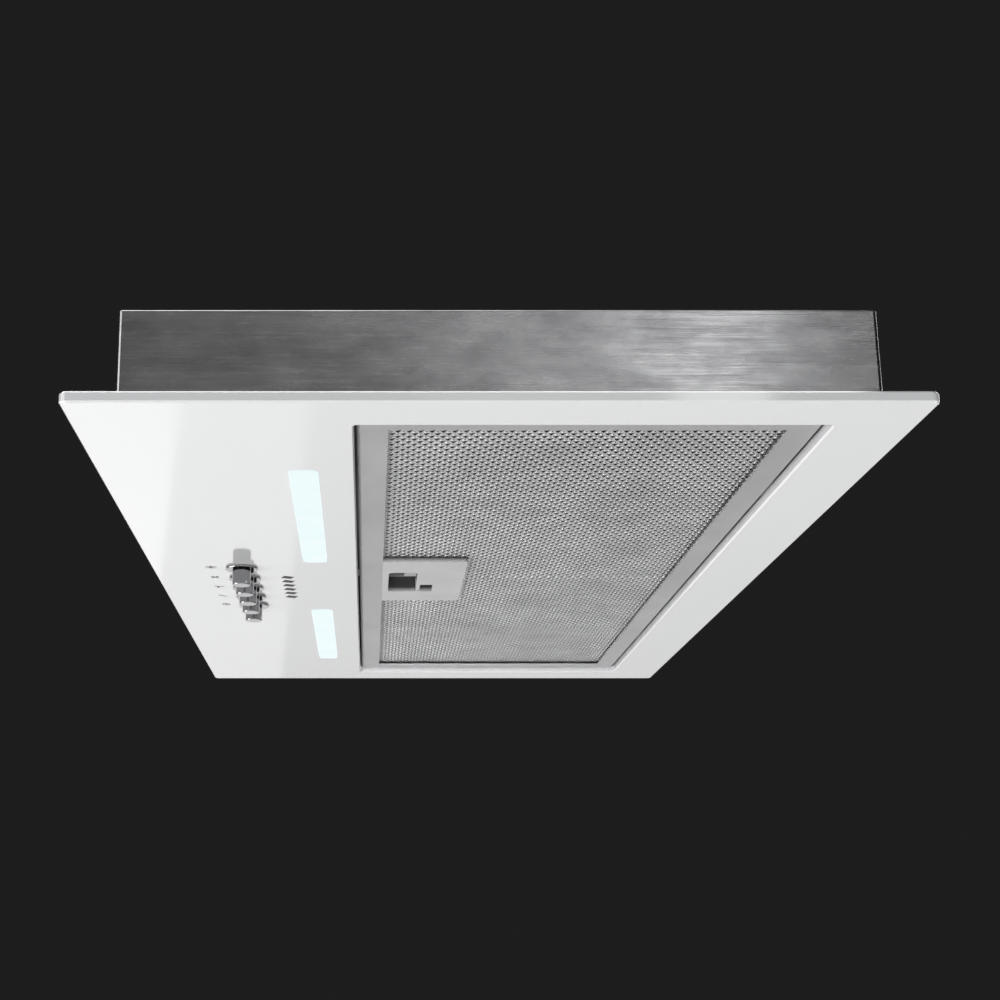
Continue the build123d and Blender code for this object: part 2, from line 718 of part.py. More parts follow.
def lamp_housing(x):
    """Reflector box over the lens."""
    outer = lamp_outline(x, LENS_FLANGE + 3.0, CARRIER_TOP, LAMP_HOUSING_TOP)
    return outer - lamp_outline(x, 1.6, CARRIER_TOP, LAMP_HOUSING_TOP - 1.4)


def led_board(x):
    """Circuit strip under the reflector box's roof."""
    top = LAMP_HOUSING_TOP - 1.4
    half = LAMP_LENGTH / 2 - 3
    return block(x - half, x + half, LAMP_Y - 4.5, LAMP_Y + 4.5, top - BOARD_THICKNESS, top)


def led_chips(x):
    """Row of light-emitting chips on the strip."""
    top = LAMP_HOUSING_TOP - 1.4 - BOARD_THICKNESS
    span = LAMP_LENGTH - 20
    chips = []
    for i in range(LED_COUNT):
        cx = x - span / 2 + span * i / (LED_COUNT - 1)
        chips.append(block(cx - 1.75, cx + 1.75, LAMP_Y - 1.4, LAMP_Y + 1.4, top - 0.8, top))
    return group(chips)


# ---- electrics ---------------------------------------------------------------------------------
def led_driver():
    """Sealed supply for the lamps, on the carrier beside the switches."""
    half = DRIVER_LENGTH / 2
    depth = DRIVER_DEPTH / 2
    return plate(
        DRIVER_X - half,
        DRIVER_X + half,
        BUTTON_Y - depth,
        BUTTON_Y + depth,
        CARRIER_TOP,
        CARRIER_TOP + DRIVER_HEIGHT,
        2.0,
    )


def lead_hole():
    """Where the wiring passes the deck, under the terminal box."""
    return TERMINAL_X - 14.0, WEB_FRONT - 16.0


def lead_height():
    """Height of the wiring's level run, just over the lamp supply."""
    return CARRIER_TOP + DRIVER_HEIGHT + LEAD_RADIUS + 0.7


def switch_lead():
    """Sleeved wires from the contact board along the deck and up into the terminal box."""
    x, y = lead_hole()
    z = lead_height()
    points = [
        (SWITCH_LENGTH / 2 + CONNECTOR_LENGTH, BUTTON_Y, z),
        (x, BUTTON_Y, z),
        (x, y, z),
        (x, y, TERMINAL_WALL + 8.0),
    ]
    path = FilletPolyline(*points, radius=LEAD_BEND)
    start = Plane(origin=points[0], z_dir=(1, 0, 0))
    return sweep(start * Circle(LEAD_RADIUS), path=path)


def deck_grommet():
    """Rubber ring that lines the wiring hole."""
    x, y = lead_hole()
    ring = tube(x, y, -SHEET, 0, LEAD_RADIUS + 3.0, LEAD_RADIUS + 0.2)
    return ring + tube(x, y, -SHEET - 1.2, -SHEET, LEAD_RADIUS + 4.5, LEAD_RADIUS + 0.2)


def terminal_span():
    """Corners of the terminal box on the deck."""
    x0 = TERMINAL_X - TERMINAL_LENGTH / 2
    y0 = TERMINAL_Y - TERMINAL_DEPTH / 2
    return x0, x0 + TERMINAL_LENGTH, y0, y0 + TERMINAL_DEPTH


def gland_place():
    """Axis of the mains cable's way in, through the box's rear wall."""
    x0, x1, y0, y1 = terminal_span()
    return TERMINAL_X + GLAND_OFFSET, y1, TERMINAL_HEIGHT / 2


def terminal_box():
    """Open box on the deck for the wiring's joints."""
    x0, x1, y0, y1 = terminal_span()
    wall = TERMINAL_WALL
    top = TERMINAL_HEIGHT
    body = plate(x0, x1, y0, y1, 0, top, TERMINAL_CORNER)
    inside = plate(x0 + wall, x1 - wall, y0 + wall, y1 - wall, wall, top, TERMINAL_CORNER - wall)
    body = body - inside
    x, y = lead_hole()
    body = body - disc(x, y, 0, wall, LEAD_RADIUS + 0.5)
    gx, gy, gz = gland_place()
    body = body - rod_y(gx, gy - wall, gy, gz, GLAND_RADIUS - GLAND_WALL)
    for px, py in terminal_screw_points():
        post = disc(px, py, wall, top, TERMINAL_POST)
        body = body + (post - disc(px, py, top - TERMINAL_SCREW_DEPTH, top, TERMINAL_SCREW))
    return body


def terminal_screw_points():
    """Two opposite corners, where the lid's screws go."""
    x0, x1, y0, y1 = terminal_span()
    inset = TERMINAL_POST_INSET
    return [(x0 + inset, y0 + inset), (x1 - inset, y1 - inset)]


def terminal_lid():
    """Cover of the terminal box."""
    x0, x1, y0, y1 = terminal_span()
    top = TERMINAL_HEIGHT + TERMINAL_LID
    lid = plate(x0, x1, y0, y1, TERMINAL_HEIGHT, top, TERMINAL_CORNER)
    for x, y in terminal_screw_points():
        lid = lid - disc(x, y, TERMINAL_HEIGHT, top, TERMINAL_SCREW + 0.2)
    return lid


def terminal_strip():
    """Row of screw terminals inside the box."""
    x0, x1, y0, y1 = terminal_span()
    y = y1 - 18.0
    bottom = TERMINAL_WALL
    starts = [x0 + 8.0 + i * STRIP_PITCH for i in range(STRIP_COUNT)]
    width = STRIP_PITCH - 1.0
    cells = [block(x, x + width, y - 8, y, bottom, bottom + STRIP_HEIGHT) for x in starts]
    rail = block(starts[0], starts[-1] + width, y - 7, y - 1, bottom, bottom + 0.6 * STRIP_HEIGHT)
    return join(cells + [rail])


def terminal_screws():
    """Screws that hold the lid."""
    top = TERMINAL_HEIGHT + TERMINAL_LID
    tip = TERMINAL_HEIGHT - TERMINAL_SCREW_DEPTH + 1.0
    return group(
        disc(x, y, top, top + 1.6, 2.6) + disc(x, y, tip, top, TERMINAL_SCREW)
        for x, y in terminal_screw_points()
    )


def cable_gland():
    """Screwed gland for the mains cable, with a domed clamping nut."""
    x, y, z = gland_place()
    inside = y - TERMINAL_WALL
    thread = rod_y(x, inside, y, z, GLAND_RADIUS - GLAND_WALL)
    flats = extrude(RegularPolygon(GLAND_RADIUS + 1, 6), 2, both=True)
    collar = Pos(x, y + 2, z) * Rot(90, 0, 0) * flats
    nut = rod_y(x, y + 4, y + GLAND_LENGTH, z, GLAND_RADIUS)
    nut = fillet(nut.edges().sort_by(Axis.Y)[-1], 2.0)
    return thread + collar + nut - rod_y(x, inside, y + GLAND_LENGTH, z, GLAND_BORE)


def capacitor_axis():
    """Front end of the motor capacitor's centre line, beside the cable's straight way in."""
    gland_x, gland_y, gland_z = gland_place()
    x = gland_x + CABLE_ROOM + CAPACITOR_RADIUS
    return x, gland_y + GLAND_LENGTH + CAPACITOR_RADIUS, CAPACITOR_RADIUS + 1.0


def capacitor():
    """Motor capacitor, a sealed can with two flat pins at its rear end."""
    x, y, z = capacitor_axis()
    rear = y + CAPACITOR_LENGTH
    body = rod_y(x, y, rear, z, CAPACITOR_RADIUS)
    body = fillet(body.edges().sort_by(Axis.Y)[0], 1.5)
    pins = [block(x + s - 0.4, x + s + 0.4, rear, rear + 6, z - 3, z + 3) for s in (-5, 5)]
    return join([body] + pins)


def capacitor_clamp():
    """Sheet strap that holds the capacitor down."""
    x, y, z = capacitor_axis()
    inner = CAPACITOR_RADIUS
    outer = CAPACITOR_RADIUS + STRAP
    foot = outer + STRAP_FOOT
    y0 = y + (CAPACITOR_LENGTH - STRAP_WIDTH) / 2
    y1 = y0 + STRAP_WIDTH
    strap = rod_y(x, y0, y1, z, outer)
    feet = block(x - foot, x + foot, y0, y1, 0, STRAP)
    sides = block(x - outer, x + outer, y0, y1, 0, z)
    hollow = rod_y(x, y0, y1, z, inner) + block(x - inner, x + inner, y0, y1, STRAP, z)
    return strap + sides + feet - hollow


# ---- blower ------------------------------------------------------------------------------------
def scroll_outline(grow):
    """Face of the scroll's air space and outlet channel, grown outwards by a wall."""
    start_x = -SCROLL_START - grow
    face = COLLECTOR_FACE
    with BuildSketch() as sketch:
        with BuildLine():
            low = (CENTRE_A[0], CENTRE_A[1] - ARC_A - grow)
            right = (CENTRE_B[0] + ARC_B + grow, CENTRE_B[1])
            top = (CENTRE_C[0], CENTRE_C[1] + ARC_C + grow)
            CenterArc(CENTRE_A, ARC_A + grow, 180, 90)
            CenterArc(CENTRE_B, ARC_B + grow, 270, 90)
            CenterArc(CENTRE_C, ARC_C + grow, 0, 90)
            Polyline(
                top,
                (face, top[1]),
                (face, OUTLET_INNER - grow),
                (start_x, OUTLET_INNER - grow),
                (start_x, BLOWER_Y),
            )
        make_face()
    return sketch.sketch


def scroll_prism(grow, z0, z1):
    return extrude(Pos(0, 0, z0) * scroll_outline(grow), z1 - z0, dir=(0, 0, 1))


def ear_points():
    """Screw ears round the scroll, on its outer wall."""
    reach = SCROLL_WALL + 0.6 * EAR_RADIUS
    turn = sqrt(0.5)
    a = (ARC_A + reach) * turn
    b = (ARC_B + reach) * turn
    c = (ARC_C + reach) * turn
    return [
        (CENTRE_A[0] - a, CENTRE_A[1] - a),
        (CENTRE_B[0] + b, CENTRE_B[1] - b),
        (CENTRE_C[0] + c, CENTRE_C[1] + c),
        (CENTRE_C[0] - 30.0, OUTLET_OUTER + reach),
    ]


def scroll_half(z0, z1):
    """Wall of the scroll between two levels, with its screw ears, before the air space is cut."""
    body = scroll_prism(SCROLL_WALL, z0, z1)
    for x, y in ear_points():
        body = body + disc(x, y, z0, z1, EAR_RADIUS)
    return body


def scroll_base():
    """Lower half of the scroll, with its floor on the deck."""
    body = scroll_half(0, SCROLL_SPLIT) - scroll_prism(0, SCROLL_WALL, SCROLL_SPLIT)
    for x, y in ear_points():
        body = body - disc(x, y, 0, SCROLL_SPLIT, 1.6)
    return body - disc(0, BLOWER_Y, 0, SCROLL_WALL, INLET_RADIUS + INLET_WALL + 0.2)


def scroll_cover():
    """Upper half of the scroll, with a rim round the motor's hole."""
    body = scroll_half(SCROLL_SPLIT, SCROLL_HEIGHT)
    body = body - scroll_prism(0, SCROLL_SPLIT, SCROLL_HEIGHT - SCROLL_WALL)
    for x, y in ear_points():
        body = body - disc(x, y, SCROLL_SPLIT, SCROLL_HEIGHT, 1.6)
    hole = MOTOR_RADIUS + 0.5
    return body - disc(0, BLOWER_Y, SCROLL_HEIGHT - SCROLL_WALL, SCROLL_HEIGHT, hole)


def scroll_screws():
    """Long screws that hold both halves of the scroll to the deck."""
    shank = SCROLL_HEIGHT - 2
    return group(pan_screw(x, y, SCROLL_HEIGHT, SCROLL_SCREW, shank) for x, y in ear_points())


def inlet_ring():
    """Bell mouth that leads the air through the deck into the impeller's eye."""
    outer = INLET_RADIUS + INLET_WALL
    flange = tube(0, BLOWER_Y, -SHEET - INLET_WALL, -SHEET, outer + INLET_FLANGE, INLET_RADIUS)
    neck = tube(0, BLOWER_Y, -SHEET, IMPELLER_BASE + 1.5, outer, INLET_RADIUS)
    ring = flange + neck
    mouth = ring.edges().filter_by(GeomType.CIRCLE).filter_by(
        lambda e: abs(e.radius - INLET_RADIUS) < 0.01
    )
    return fillet(mouth.sort_by(Axis.Z)[0], 0.9 * INLET_WALL)


def inlet_guard():
    """Finger guard of rings and spokes under the bell mouth."""
    top = -SHEET - INLET_WALL
    bottom = top - GUARD_THICKNESS
    rim = INLET_RADIUS + INLET_WALL + INLET_FLANGE - 2
    rings = [tube(0, BLOWER_Y, bottom, top, r + 1, r - 1) for r in (10, 19, 28, 37, 46)]
    rings.append(tube(0, BLOWER_Y, bottom, top, rim, rim - 6))
    spoke = Box(2 * rim - 6, 2.4, GUARD_THICKNESS) - Cylinder(9.5, GUARD_THICKNESS)
    spokes = [Pos(0, BLOWER_Y, (top + bottom) / 2) * Rot(0, 0, angle) * spoke for angle in (0, 60, 120)]
    return join(rings + spokes)


def impeller():
    """Forward-curved wheel whose cup reaches down round the motor."""
    x = 0
    y = BLOWER_Y
    eye = IMPELLER_RADIUS - IMPELLER_BLADE_WIDTH
    cup_outer = CUP_INNER + 1.5
    nose = IMPELLER_BASE + 8.0
    wheel = join(
        [
            tube(x, y, IMPELLER_BASE, IMPELLER_BASE + 2, IMPELLER_RADIUS, eye + 2),
            tube(x, y, IMPELLER_TOP - 2, IMPELLER_TOP, IMPELLER_RADIUS, CUP_INNER),
            tube(x, y, nose, IMPELLER_TOP, cup_outer, CUP_INNER),
            tube(x, y, nose, nose + 2, cup_outer, SHAFT_RADIUS),
            tube(x, y, nose - 6, nose + 2, 9.0, SHAFT_RADIUS),
        ]
    )
    chord = IMPELLER_BLADE_WIDTH - 3.0
    curve = 0.8 * IMPELLER_BLADE_WIDTH
    ring = Circle(curve + BLADE_THICKNESS / 2) - Circle(curve - BLADE_THICKNESS / 2)
    # the blade is the part of a thin ring that lies between the eye and the rim
    annulus = Circle(IMPELLER_RADIUS - 0.5) - Circle(eye + 2.5)
    middle = eye + 2.5 + chord / 2
    blade = (Pos(middle, -curve, 0) * ring) & annulus
    blade = blade.faces().sort_by(Axis.Y)[-1]
    height = IMPELLER_HEIGHT - 3
    upright = extrude(Pos(0, 0, IMPELLER_BASE + 1.5) * blade, height, dir=(0, 0, 1))
    blades = [
        Pos(x, y, 0) * Rot(0, 0, 360 * i / BLADE_COUNT) * upright for i in range(BLADE_COUNT)
    ]
    return wheel.fuse(*blades)


def motor_can():
    """Motor shell that hangs through the scroll's cover into the impeller's cup."""
    y = BLOWER_Y
    inner = MOTOR_RADIUS - MOTOR_WALL
    shell = disc(0, y, CAN_BOTTOM, MOTOR_TOP, MOTOR_RADIUS)
    shell = shell - disc(0, y, CAN_BOTTOM + MOTOR_WALL, MOTOR_TOP, inner)
    shell = shell + tube(0, y, SCROLL_HEIGHT, MOTOR_TOP, MOTOR_FLANGE, inner)
    floor = CAN_BOTTOM + MOTOR_WALL
    shell = shell + disc(0, y, floor, floor + BEARING_LENGTH, BEARING_RADIUS + BEARING_WALL)
    shell = shell - disc(0, y, floor, floor + BEARING_LENGTH, BEARING_RADIUS)
    shell = shell - disc(0, y, CAN_BOTTOM, floor, SHAFT_RADIUS + 1.0)
    for sx, sy in motor_screw_points():
        shell = shell - disc(sx, sy, SCROLL_HEIGHT, MOTOR_TOP, MOTOR_SCREW)
    return shell


def motor_screw_points():
    """Four screws round the motor's flange."""
    r = (MOTOR_FLANGE + MOTOR_RADIUS + 1) / 2
    return [(r * cos(radians(a)), BLOWER_Y + r * sin(radians(a))) for a in (45, 135, 225, 315)]


def motor_cap():
    """Vented cover on top of the motor."""
    y = BLOWER_Y
    top = MOTOR_TOP + MOTOR_CAP_HEIGHT
    outer = MOTOR_RADIUS
    cap = disc(0, y, MOTOR_TOP, top, outer)
    cap = fillet(cap.edges().sort_by(Axis.Z)[-1], 4.0)
    ceiling = top - CAP_SKIN
    cap = cap - disc(0, y, MOTOR_TOP, ceiling, outer - MOTOR_WALL)
    boss = tube(0, y, ceiling - 6.0, ceiling, BEARING_RADIUS + BEARING_WALL, BEARING_RADIUS)
    cap = cap + boss
    slot = block(16, 30, y - 1.5, y + 1.5, top - 3, top + 1)
    for i in range(12):
        turn = Pos(0, y, 0) * Rot(0, 0, 30 * i) * Pos(0, -y, 0)
        cap = cap - turn * slot
    return cap


def motor_screws():
    """Screws that hold the motor to the scroll's cover."""
    shank = MOTOR_TOP - SCROLL_HEIGHT
    return group(pan_screw(x, y, MOTOR_TOP, MOTOR_SCREW, shank) for x, y in motor_screw_points())


def motor_bearings():
    """Two plain bearings, in the can's floor and under the cap."""
    y = BLOWER_Y
    bore = SHAFT_RADIUS + SHAFT_CLEARANCE
    low = CAN_BOTTOM + MOTOR_WALL
    high = MOTOR_TOP + MOTOR_CAP_HEIGHT - CAP_SKIN - 6.0
    return group(
        [
            tube(0, y, low, low + BEARING_LENGTH, BEARING_RADIUS, bore),
            tube(0, y, high, high + BEARING_LENGTH + 0.5, BEARING_RADIUS, bore),
        ]
    )


def motor_stator():
    """Stack of sheets pressed into the can."""
    return tube(0, BLOWER_Y, STATOR_BOTTOM, STATOR_TOP, MOTOR_RADIUS - MOTOR_WALL, STATOR_BORE)


def motor_windings():
    """Copper coils at both ends of the stator."""
    spans = [(STATOR_BOTTOM - WINDING_BELOW, STATOR_BOTTOM), (STATOR_TOP, STATOR_TOP + WINDING_ABOVE)]
    return group(tube(0, BLOWER_Y, z0, z1, WINDING_OUTER, WINDING_INNER) for z0, z1 in spans)


def motor_rotor():
    """Rotor, pressed on the shaft."""
    z0 = STATOR_BOTTOM - 0.5
    z1 = STATOR_TOP + 0.5
    return tube(0, BLOWER_Y, z0, z1, STATOR_BORE - ROTOR_GAP, SHAFT_RADIUS)


def motor_shaft():
    """Shaft from the impeller's hub up to the cap."""
    base = IMPELLER_BASE + 1.0
    return disc(0, BLOWER_Y, base, MOTOR_TOP + MOTOR_CAP_HEIGHT - 3.0, SHAFT_RADIUS)


# ---- outlet ------------------------------------------------------------------------------------
def collector():
    """Box that turns the air from the scroll up into the spigot."""
    wall = SCROLL_WALL
    x0 = COLLECTOR_FACE - 2 * COLLECTOR_HALF
    y0 = SPIGOT_Y - COLLECTOR_HALF
    y1 = SPIGOT_Y + COLLECTOR_HALF
    box = block(x0, COLLECTOR_FACE, y0, y1, 0, COLLECTOR_HEIGHT)
    box = fillet(box.edges().filter_by(Axis.Z).sort_by(Axis.X)[:2], COLLECTOR_CORNER)
    box = fillet(box.faces().sort_by(Axis.Z)[-1].edges(), COLLECTOR_EDGE)
    inner = block(x0 + wall, COLLECTOR_FACE - wall, y0 + wall, y1 - wall, wall, COLLECTOR_HEIGHT - wall)
    inner = fillet(inner.edges().filter_by(Axis.Z).sort_by(Axis.X)[:2], COLLECTOR_CORNER - wall)
    box = box - inner
    box = box - block(
        COLLECTOR_FACE - wall,
        COLLECTOR_FACE,
        OUTLET_INNER,
        OUTLET_OUTER,
        wall,
        SCROLL_HEIGHT - wall,
    )
    return box - disc(SPIGOT_X, SPIGOT_Y, COLLECTOR_HEIGHT - wall, COLLECTOR_HEIGHT, SPIGOT_BORE)


def spigot():
    """Round collar for the duct, with its flange and the seat for the dampers."""
    x = SPIGOT_X
    y = SPIGOT_Y
    top = SPIGOT_BASE + SPIGOT_HEIGHT
    outer = SPIGOT_RADIUS
    flange = tube(x, y, COLLECTOR_HEIGHT, SPIGOT_BASE, outer + SPIGOT_FLANGE - 1.0, SPIGOT_BORE)
    collar = disc(x, y, SPIGOT_BASE, top, outer)
    collar = chamfer(collar.edges().sort_by(Axis.Z)[-1], 0.8) - disc(x, y, SPIGOT_BASE, top, SPIGOT_BORE)
    seat_top = DAMPER_Z - DAMPER_THICKNESS / 2
    seat = tube(x, y, seat_top - 1.5, seat_top, SPIGOT_BORE, SPIGOT_BORE - SEAT_WIDTH)
    seat = seat - block(x - 5, x + 5, y - outer, y + outer, seat_top - 1.5, seat_top)
    ears = [disc(sx, sy, COLLECTOR_HEIGHT, SPIGOT_BASE, SPIGOT_EAR) for sx, sy in spigot_screw_points()]
    ears = join(ears) - disc(x, y, COLLECTOR_HEIGHT, SPIGOT_BASE, outer)
    body = join([flange, collar, seat, ears])
    body = body - rod_y(x, y - outer, y + outer, DAMPER_Z, DAMPER_PIN)
    for sx, sy in spigot_screw_points():
        body = body - disc(sx, sy, COLLECTOR_HEIGHT, SPIGOT_BASE, 1.2)
    return body


def spigot_screw_points():
    """Four screws outside the collar, clear of a duct pushed over it."""
    r = SPIGOT_RADIUS + SPIGOT_FLANGE + 1.4
    return [
        (SPIGOT_X + r * cos(radians(a)), SPIGOT_Y + r * sin(radians(a))) for a in (45, 135, 225, 315)
    ]


def spigot_screws():
    """Screws that hold the spigot to the collector."""
    return group(
        disc(x, y, SPIGOT_BASE, SPIGOT_BASE + 1.2, 1.6) + disc(x, y, COLLECTOR_HEIGHT, SPIGOT_BASE, 1.2)
        for x, y in spigot_screw_points()
    )


def damper_pin():
    """Wire across the spigot on which both flaps turn."""
    reach = SPIGOT_RADIUS - 0.4
    return rod_y(SPIGOT_X, SPIGOT_Y - reach, SPIGOT_Y + reach, DAMPER_Z, DAMPER_PIN)


def damper_flap(side):
    """Half-round flap; side is -1 for the -X half and 1 for the +X half."""
    x = SPIGOT_X
    y = SPIGOT_Y
    z0 = DAMPER_Z - DAMPER_THICKNESS / 2
    z1 = DAMPER_Z + DAMPER_THICKNESS / 2
    edge = KNUCKLE_RADIUS + 0.6
    rim = SPIGOT_BORE - DAMPER_GAP
    flap = disc(x, y, z0, z1, rim)
    far = x + side * 2 * rim
    near = x + side * edge
    keep = block(min(near, far), max(near, far), y - rim, y + rim, z0, z1)
    flap = flap & keep
    for offset in (-34.0, 14.0):
        y0 = y + offset + (0 if side < 0 else KNUCKLE_LENGTH + 0.4)
        tab = block(min(x, near), max(x, near), y0, y0 + KNUCKLE_LENGTH, z0, z1)
        knuckle = rod_y(x, y0, y0 + KNUCKLE_LENGTH, DAMPER_Z, KNUCKLE_RADIUS)
        flap = flap + tab + knuckle
    return flap - rod_y(x, y - rim, y + rim, DAMPER_Z, DAMPER_PIN + DAMPER_PIN_CLEARANCE)


# ---- export ------------------------------------------------------------------------------------
def all_parts():
    """Node name to solid."""
    parts = {
        "glass_panel": glass_panel(),
        "panel_tape": panel_tape(),
        "panel_carrier": panel_carrier(),
        "body_shell": body_shell(),
        "electrics_partition": electrics_partition(),
        "filter_frame": filter_frame(),
        "filter_front_mesh": mesh_sheet(MESH_FACE, PACK_BOTTOM),
        "filter_mesh_pack": mesh_pack(),
        "filter_rear_mesh": mesh_sheet(PACK_TOP, SLOT_TOP),
        "filter_rear_tabs": filter_rear_tabs(),
        "latch_housing": latch_housing(),
        "latch_slider": latch_slider(),
        "latch_tongue": latch_tongue(),
        "latch_spring": latch_spring(),
        "switch_block": switch_block(),
        "switch_board": switch_board(),
        "switch_contacts": switch_contacts(),
        "switch_nuts": switch_nuts(),
        "led_driver": led_driver(),
        "switch_lead": switch_lead(),
        "deck_grommet": deck_grommet(),
        "terminal_box": terminal_box(),
        "terminal_lid": terminal_lid(),
        "terminal_strip": terminal_strip(),
        "terminal_screws": terminal_screws(),
        "cable_gland": cable_gland(),
        "capacitor": capacitor(),
        "capacitor_clamp": capacitor_clamp(),
        "scroll_base": scroll_base(),
        "scroll_cover": scroll_cover(),
        "scroll_screws": scroll_screws(),
        "inlet_ring": inlet_ring(),
        "inlet_guard": inlet_guard(),
        "impeller": impeller(),
        "motor_can": motor_can(),
        "motor_cap": motor_cap(),
        "motor_screws": motor_screws(),
        "motor_bearings": motor_bearings(),
        "motor_stator": motor_stator(),
        "motor_windings": motor_windings(),
        "motor_rotor": motor_rotor(),
        "motor_shaft": motor_shaft(),
        "collector": collector(),
        "spigot": spigot(),
        "spigot_screws": spigot_screws(),
        "damper_pin": damper_pin(),
        "damper_flap_left": damper_flap(-1),
        "damper_flap_right": damper_flap(1),
    }
    for number, x in enumerate(BUTTON_XS, start=1):
        parts[f"button_{number}"] = push_button(x)
    parts["button_bezels"] = group(button_bezel(x) for x in BUTTON_XS)
    parts["button_springs"] = group(button_spring(x) for x in BUTTON_XS)
    for name, x in zip(("left", "right"), lamp_centres()):
        parts[f"lamp_lens_{name}"] = lamp_lens(x)
    parts["lamp_housings"] = group(lamp_housing(x) for x in lamp_centres())
    parts["led_boards"] = group(led_board(x) for x in lamp_centres())
    parts["led_chips"] = group(chip for x in lamp_centres() for chip in led_chips(x).solids())
    return parts


def main():
    os.makedirs("parts", exist_ok=True)
    for name, shape in all_parts().items():
        export_step(shape, f"parts/{name}.step")


main()
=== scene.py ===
# %% [markdown]
# # Range hood with a glass underside, shown from below
# The measured parts come from the CAD model as a fixed frame. This lesson gives them their real finishes
# and adds what is too fine for CAD: the expanded metal of the grease filter and the printed signs.
# Every size is in metres and comes from the frame, so each new piece lands where its CAD part is.

# %% Load the fixed frame
import json
from math import pi, radians

import bmesh
import bpy
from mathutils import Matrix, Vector


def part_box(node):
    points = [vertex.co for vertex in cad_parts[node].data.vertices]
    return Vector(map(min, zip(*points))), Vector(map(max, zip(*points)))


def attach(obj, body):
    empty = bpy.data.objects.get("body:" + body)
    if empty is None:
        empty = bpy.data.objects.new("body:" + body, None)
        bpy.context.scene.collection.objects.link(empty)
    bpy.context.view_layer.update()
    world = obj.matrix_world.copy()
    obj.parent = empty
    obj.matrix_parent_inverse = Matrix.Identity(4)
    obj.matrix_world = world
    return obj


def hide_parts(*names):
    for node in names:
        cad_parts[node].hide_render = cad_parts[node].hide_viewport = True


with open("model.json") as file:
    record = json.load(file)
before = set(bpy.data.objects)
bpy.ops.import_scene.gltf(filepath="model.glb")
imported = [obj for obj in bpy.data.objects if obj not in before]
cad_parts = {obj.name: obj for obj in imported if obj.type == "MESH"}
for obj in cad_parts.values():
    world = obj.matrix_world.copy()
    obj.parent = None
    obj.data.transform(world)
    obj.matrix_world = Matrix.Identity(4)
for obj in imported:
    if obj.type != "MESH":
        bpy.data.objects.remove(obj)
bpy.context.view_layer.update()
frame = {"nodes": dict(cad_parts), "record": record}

MM = 0.001
scene = bpy.context.scene

# %% [markdown]
# ## The camera
# The hood is looked at from in front of its short end and a little below it, so the camera lies below
# the glass and tilts up. The lens is a short portrait length. A small shift of the film moves the hood to
# its place in the frame.

# %% Set the camera
CAMERA_PLACE = (0.7353, -0.0431, -0.2118)
CAMERA_PITCH = 13.5

camera_data = bpy.data.cameras.new("studio_camera")
camera_data.lens = 54.72
camera_data.sensor_width = 36
camera_data.shift_x = 0.132
camera_data.shift_y = 0.08
camera = bpy.data.objects.new("studio_camera", camera_data)
scene.collection.objects.link(camera)
camera.location = CAMERA_PLACE
camera.rotation_euler = (radians(90 + CAMERA_PITCH), 0, radians(90))
scene.camera = camera
print("camera looks along -X, tilted up", CAMERA_PITCH, "degrees")

# %% [markdown]
# ## The studio
# A pale floor lies well below the hood, below every light too, so no light cuts into it. Large area lights
# are soft because each point of the hood sees the whole of them. Gloss is only visible through what it
# mirrors, so the lights are placed where the glass, the chrome and the brushed steel mirror them towards
# the camera. The lights themselves are hidden from the camera.

# %% Floor and world
FLOOR_DROP = 2.0
FLOOR_SIZE = 14


def nothing_selected():
    if bpy.context.mode != "OBJECT":
        bpy.ops.object.mode_set(mode="OBJECT")
    bpy.ops.object.select_all(action="DESELECT")


nothing_selected()
bpy.ops.mesh.primitive_plane_add(size=FLOOR_SIZE, location=(0, 0, -FLOOR_DROP))
floor = bpy.context.object
floor.name = "studio_floor"

world = bpy.data.worlds.new("studio_world")
world.use_nodes = True
backdrop = world.node_tree.nodes["Background"]
backdrop.inputs["Color"].default_value = (0.0125, 0.0125, 0.013, 1)
backdrop.inputs["Strength"].default_value = 1.0
scene.world = world
scene.view_settings.view_transform = "Standard"
print("floor", FLOOR_DROP, "m below the deck, in a dim room")


# %% Soft lights
def soft_light(name, place, target, size, watts):
    """An area light at a place, turned to face a target; size is its width and height."""
    data = bpy.data.lights.new(name, "AREA")
    data.shape = "RECTANGLE"
    data.size, data.size_y = size
    data.energy = watts
    light = bpy.data.objects.new(name, data)
    scene.collection.objects.link(light)
    light.visible_camera = False
    light.location = place
    light.rotation_euler = (Vector(target) - Vector(place)).to_track_quat("-Z", "Y").to_euler()
    return light


# from below: the glass and the mesh
soft_light("under_light", (0.2, -1.3, -1.0), (0, 0, 0), (1.6, 1.2), 16.8)
soft_light("under_fill", (0.2, 1.3, -1.1), (0, 0, 0), (1.2, 1.0), 5)
# beyond the far end: what the glass mirrors
soft_light("far_card", (-2.6, 0.0, -0.75), (0, 0, -0.04), (4.4, 1.0), 9.3)
soft_light("far_left_card", (-2.5, -1.35, -0.75), (0, 0, -0.04), (1.8, 1.0), 1.6)
soft_light("far_left_edge", (-2.45, -1.05, -0.75), (0, 0, -0.04), (1.8, 1.0), 1.0)
# on the near side: the glass's edge, and what the end wall mirrors
soft_light("lip_light", (1.9, -0.3, -1.25), (0.25, 0, -0.04), (1.6, 0.8), 24)
soft_light("end_strip", (1.75, 0.44, 0.60), (0.25, 0.08, 0), (0.13, 1.0), 1.08)
soft_light("end_glow", (1.75, 0.20, 0.60), (0.25, 0.03, 0), (0.34, 0.9), 0.36)
soft_light("end_fill", (1.75, -0.15, 0.60), (0.25, -0.05, 0), (0.8, 0.9), 0.38)
# above: the deck and the blower
soft_light("top_light", (-0.3, -0.4, 1.6), (0, 0, 0), (1.8, 1.8), 30)
soft_light("back_light", (-1.6, 1.3, 0.7), (0, 0, 0), (1.2, 1.2), 12)
soft_light("deck_glow", (1.5, -2.2, 0.85), (0, 0, 0.03), (2.2, 0.9), 12)

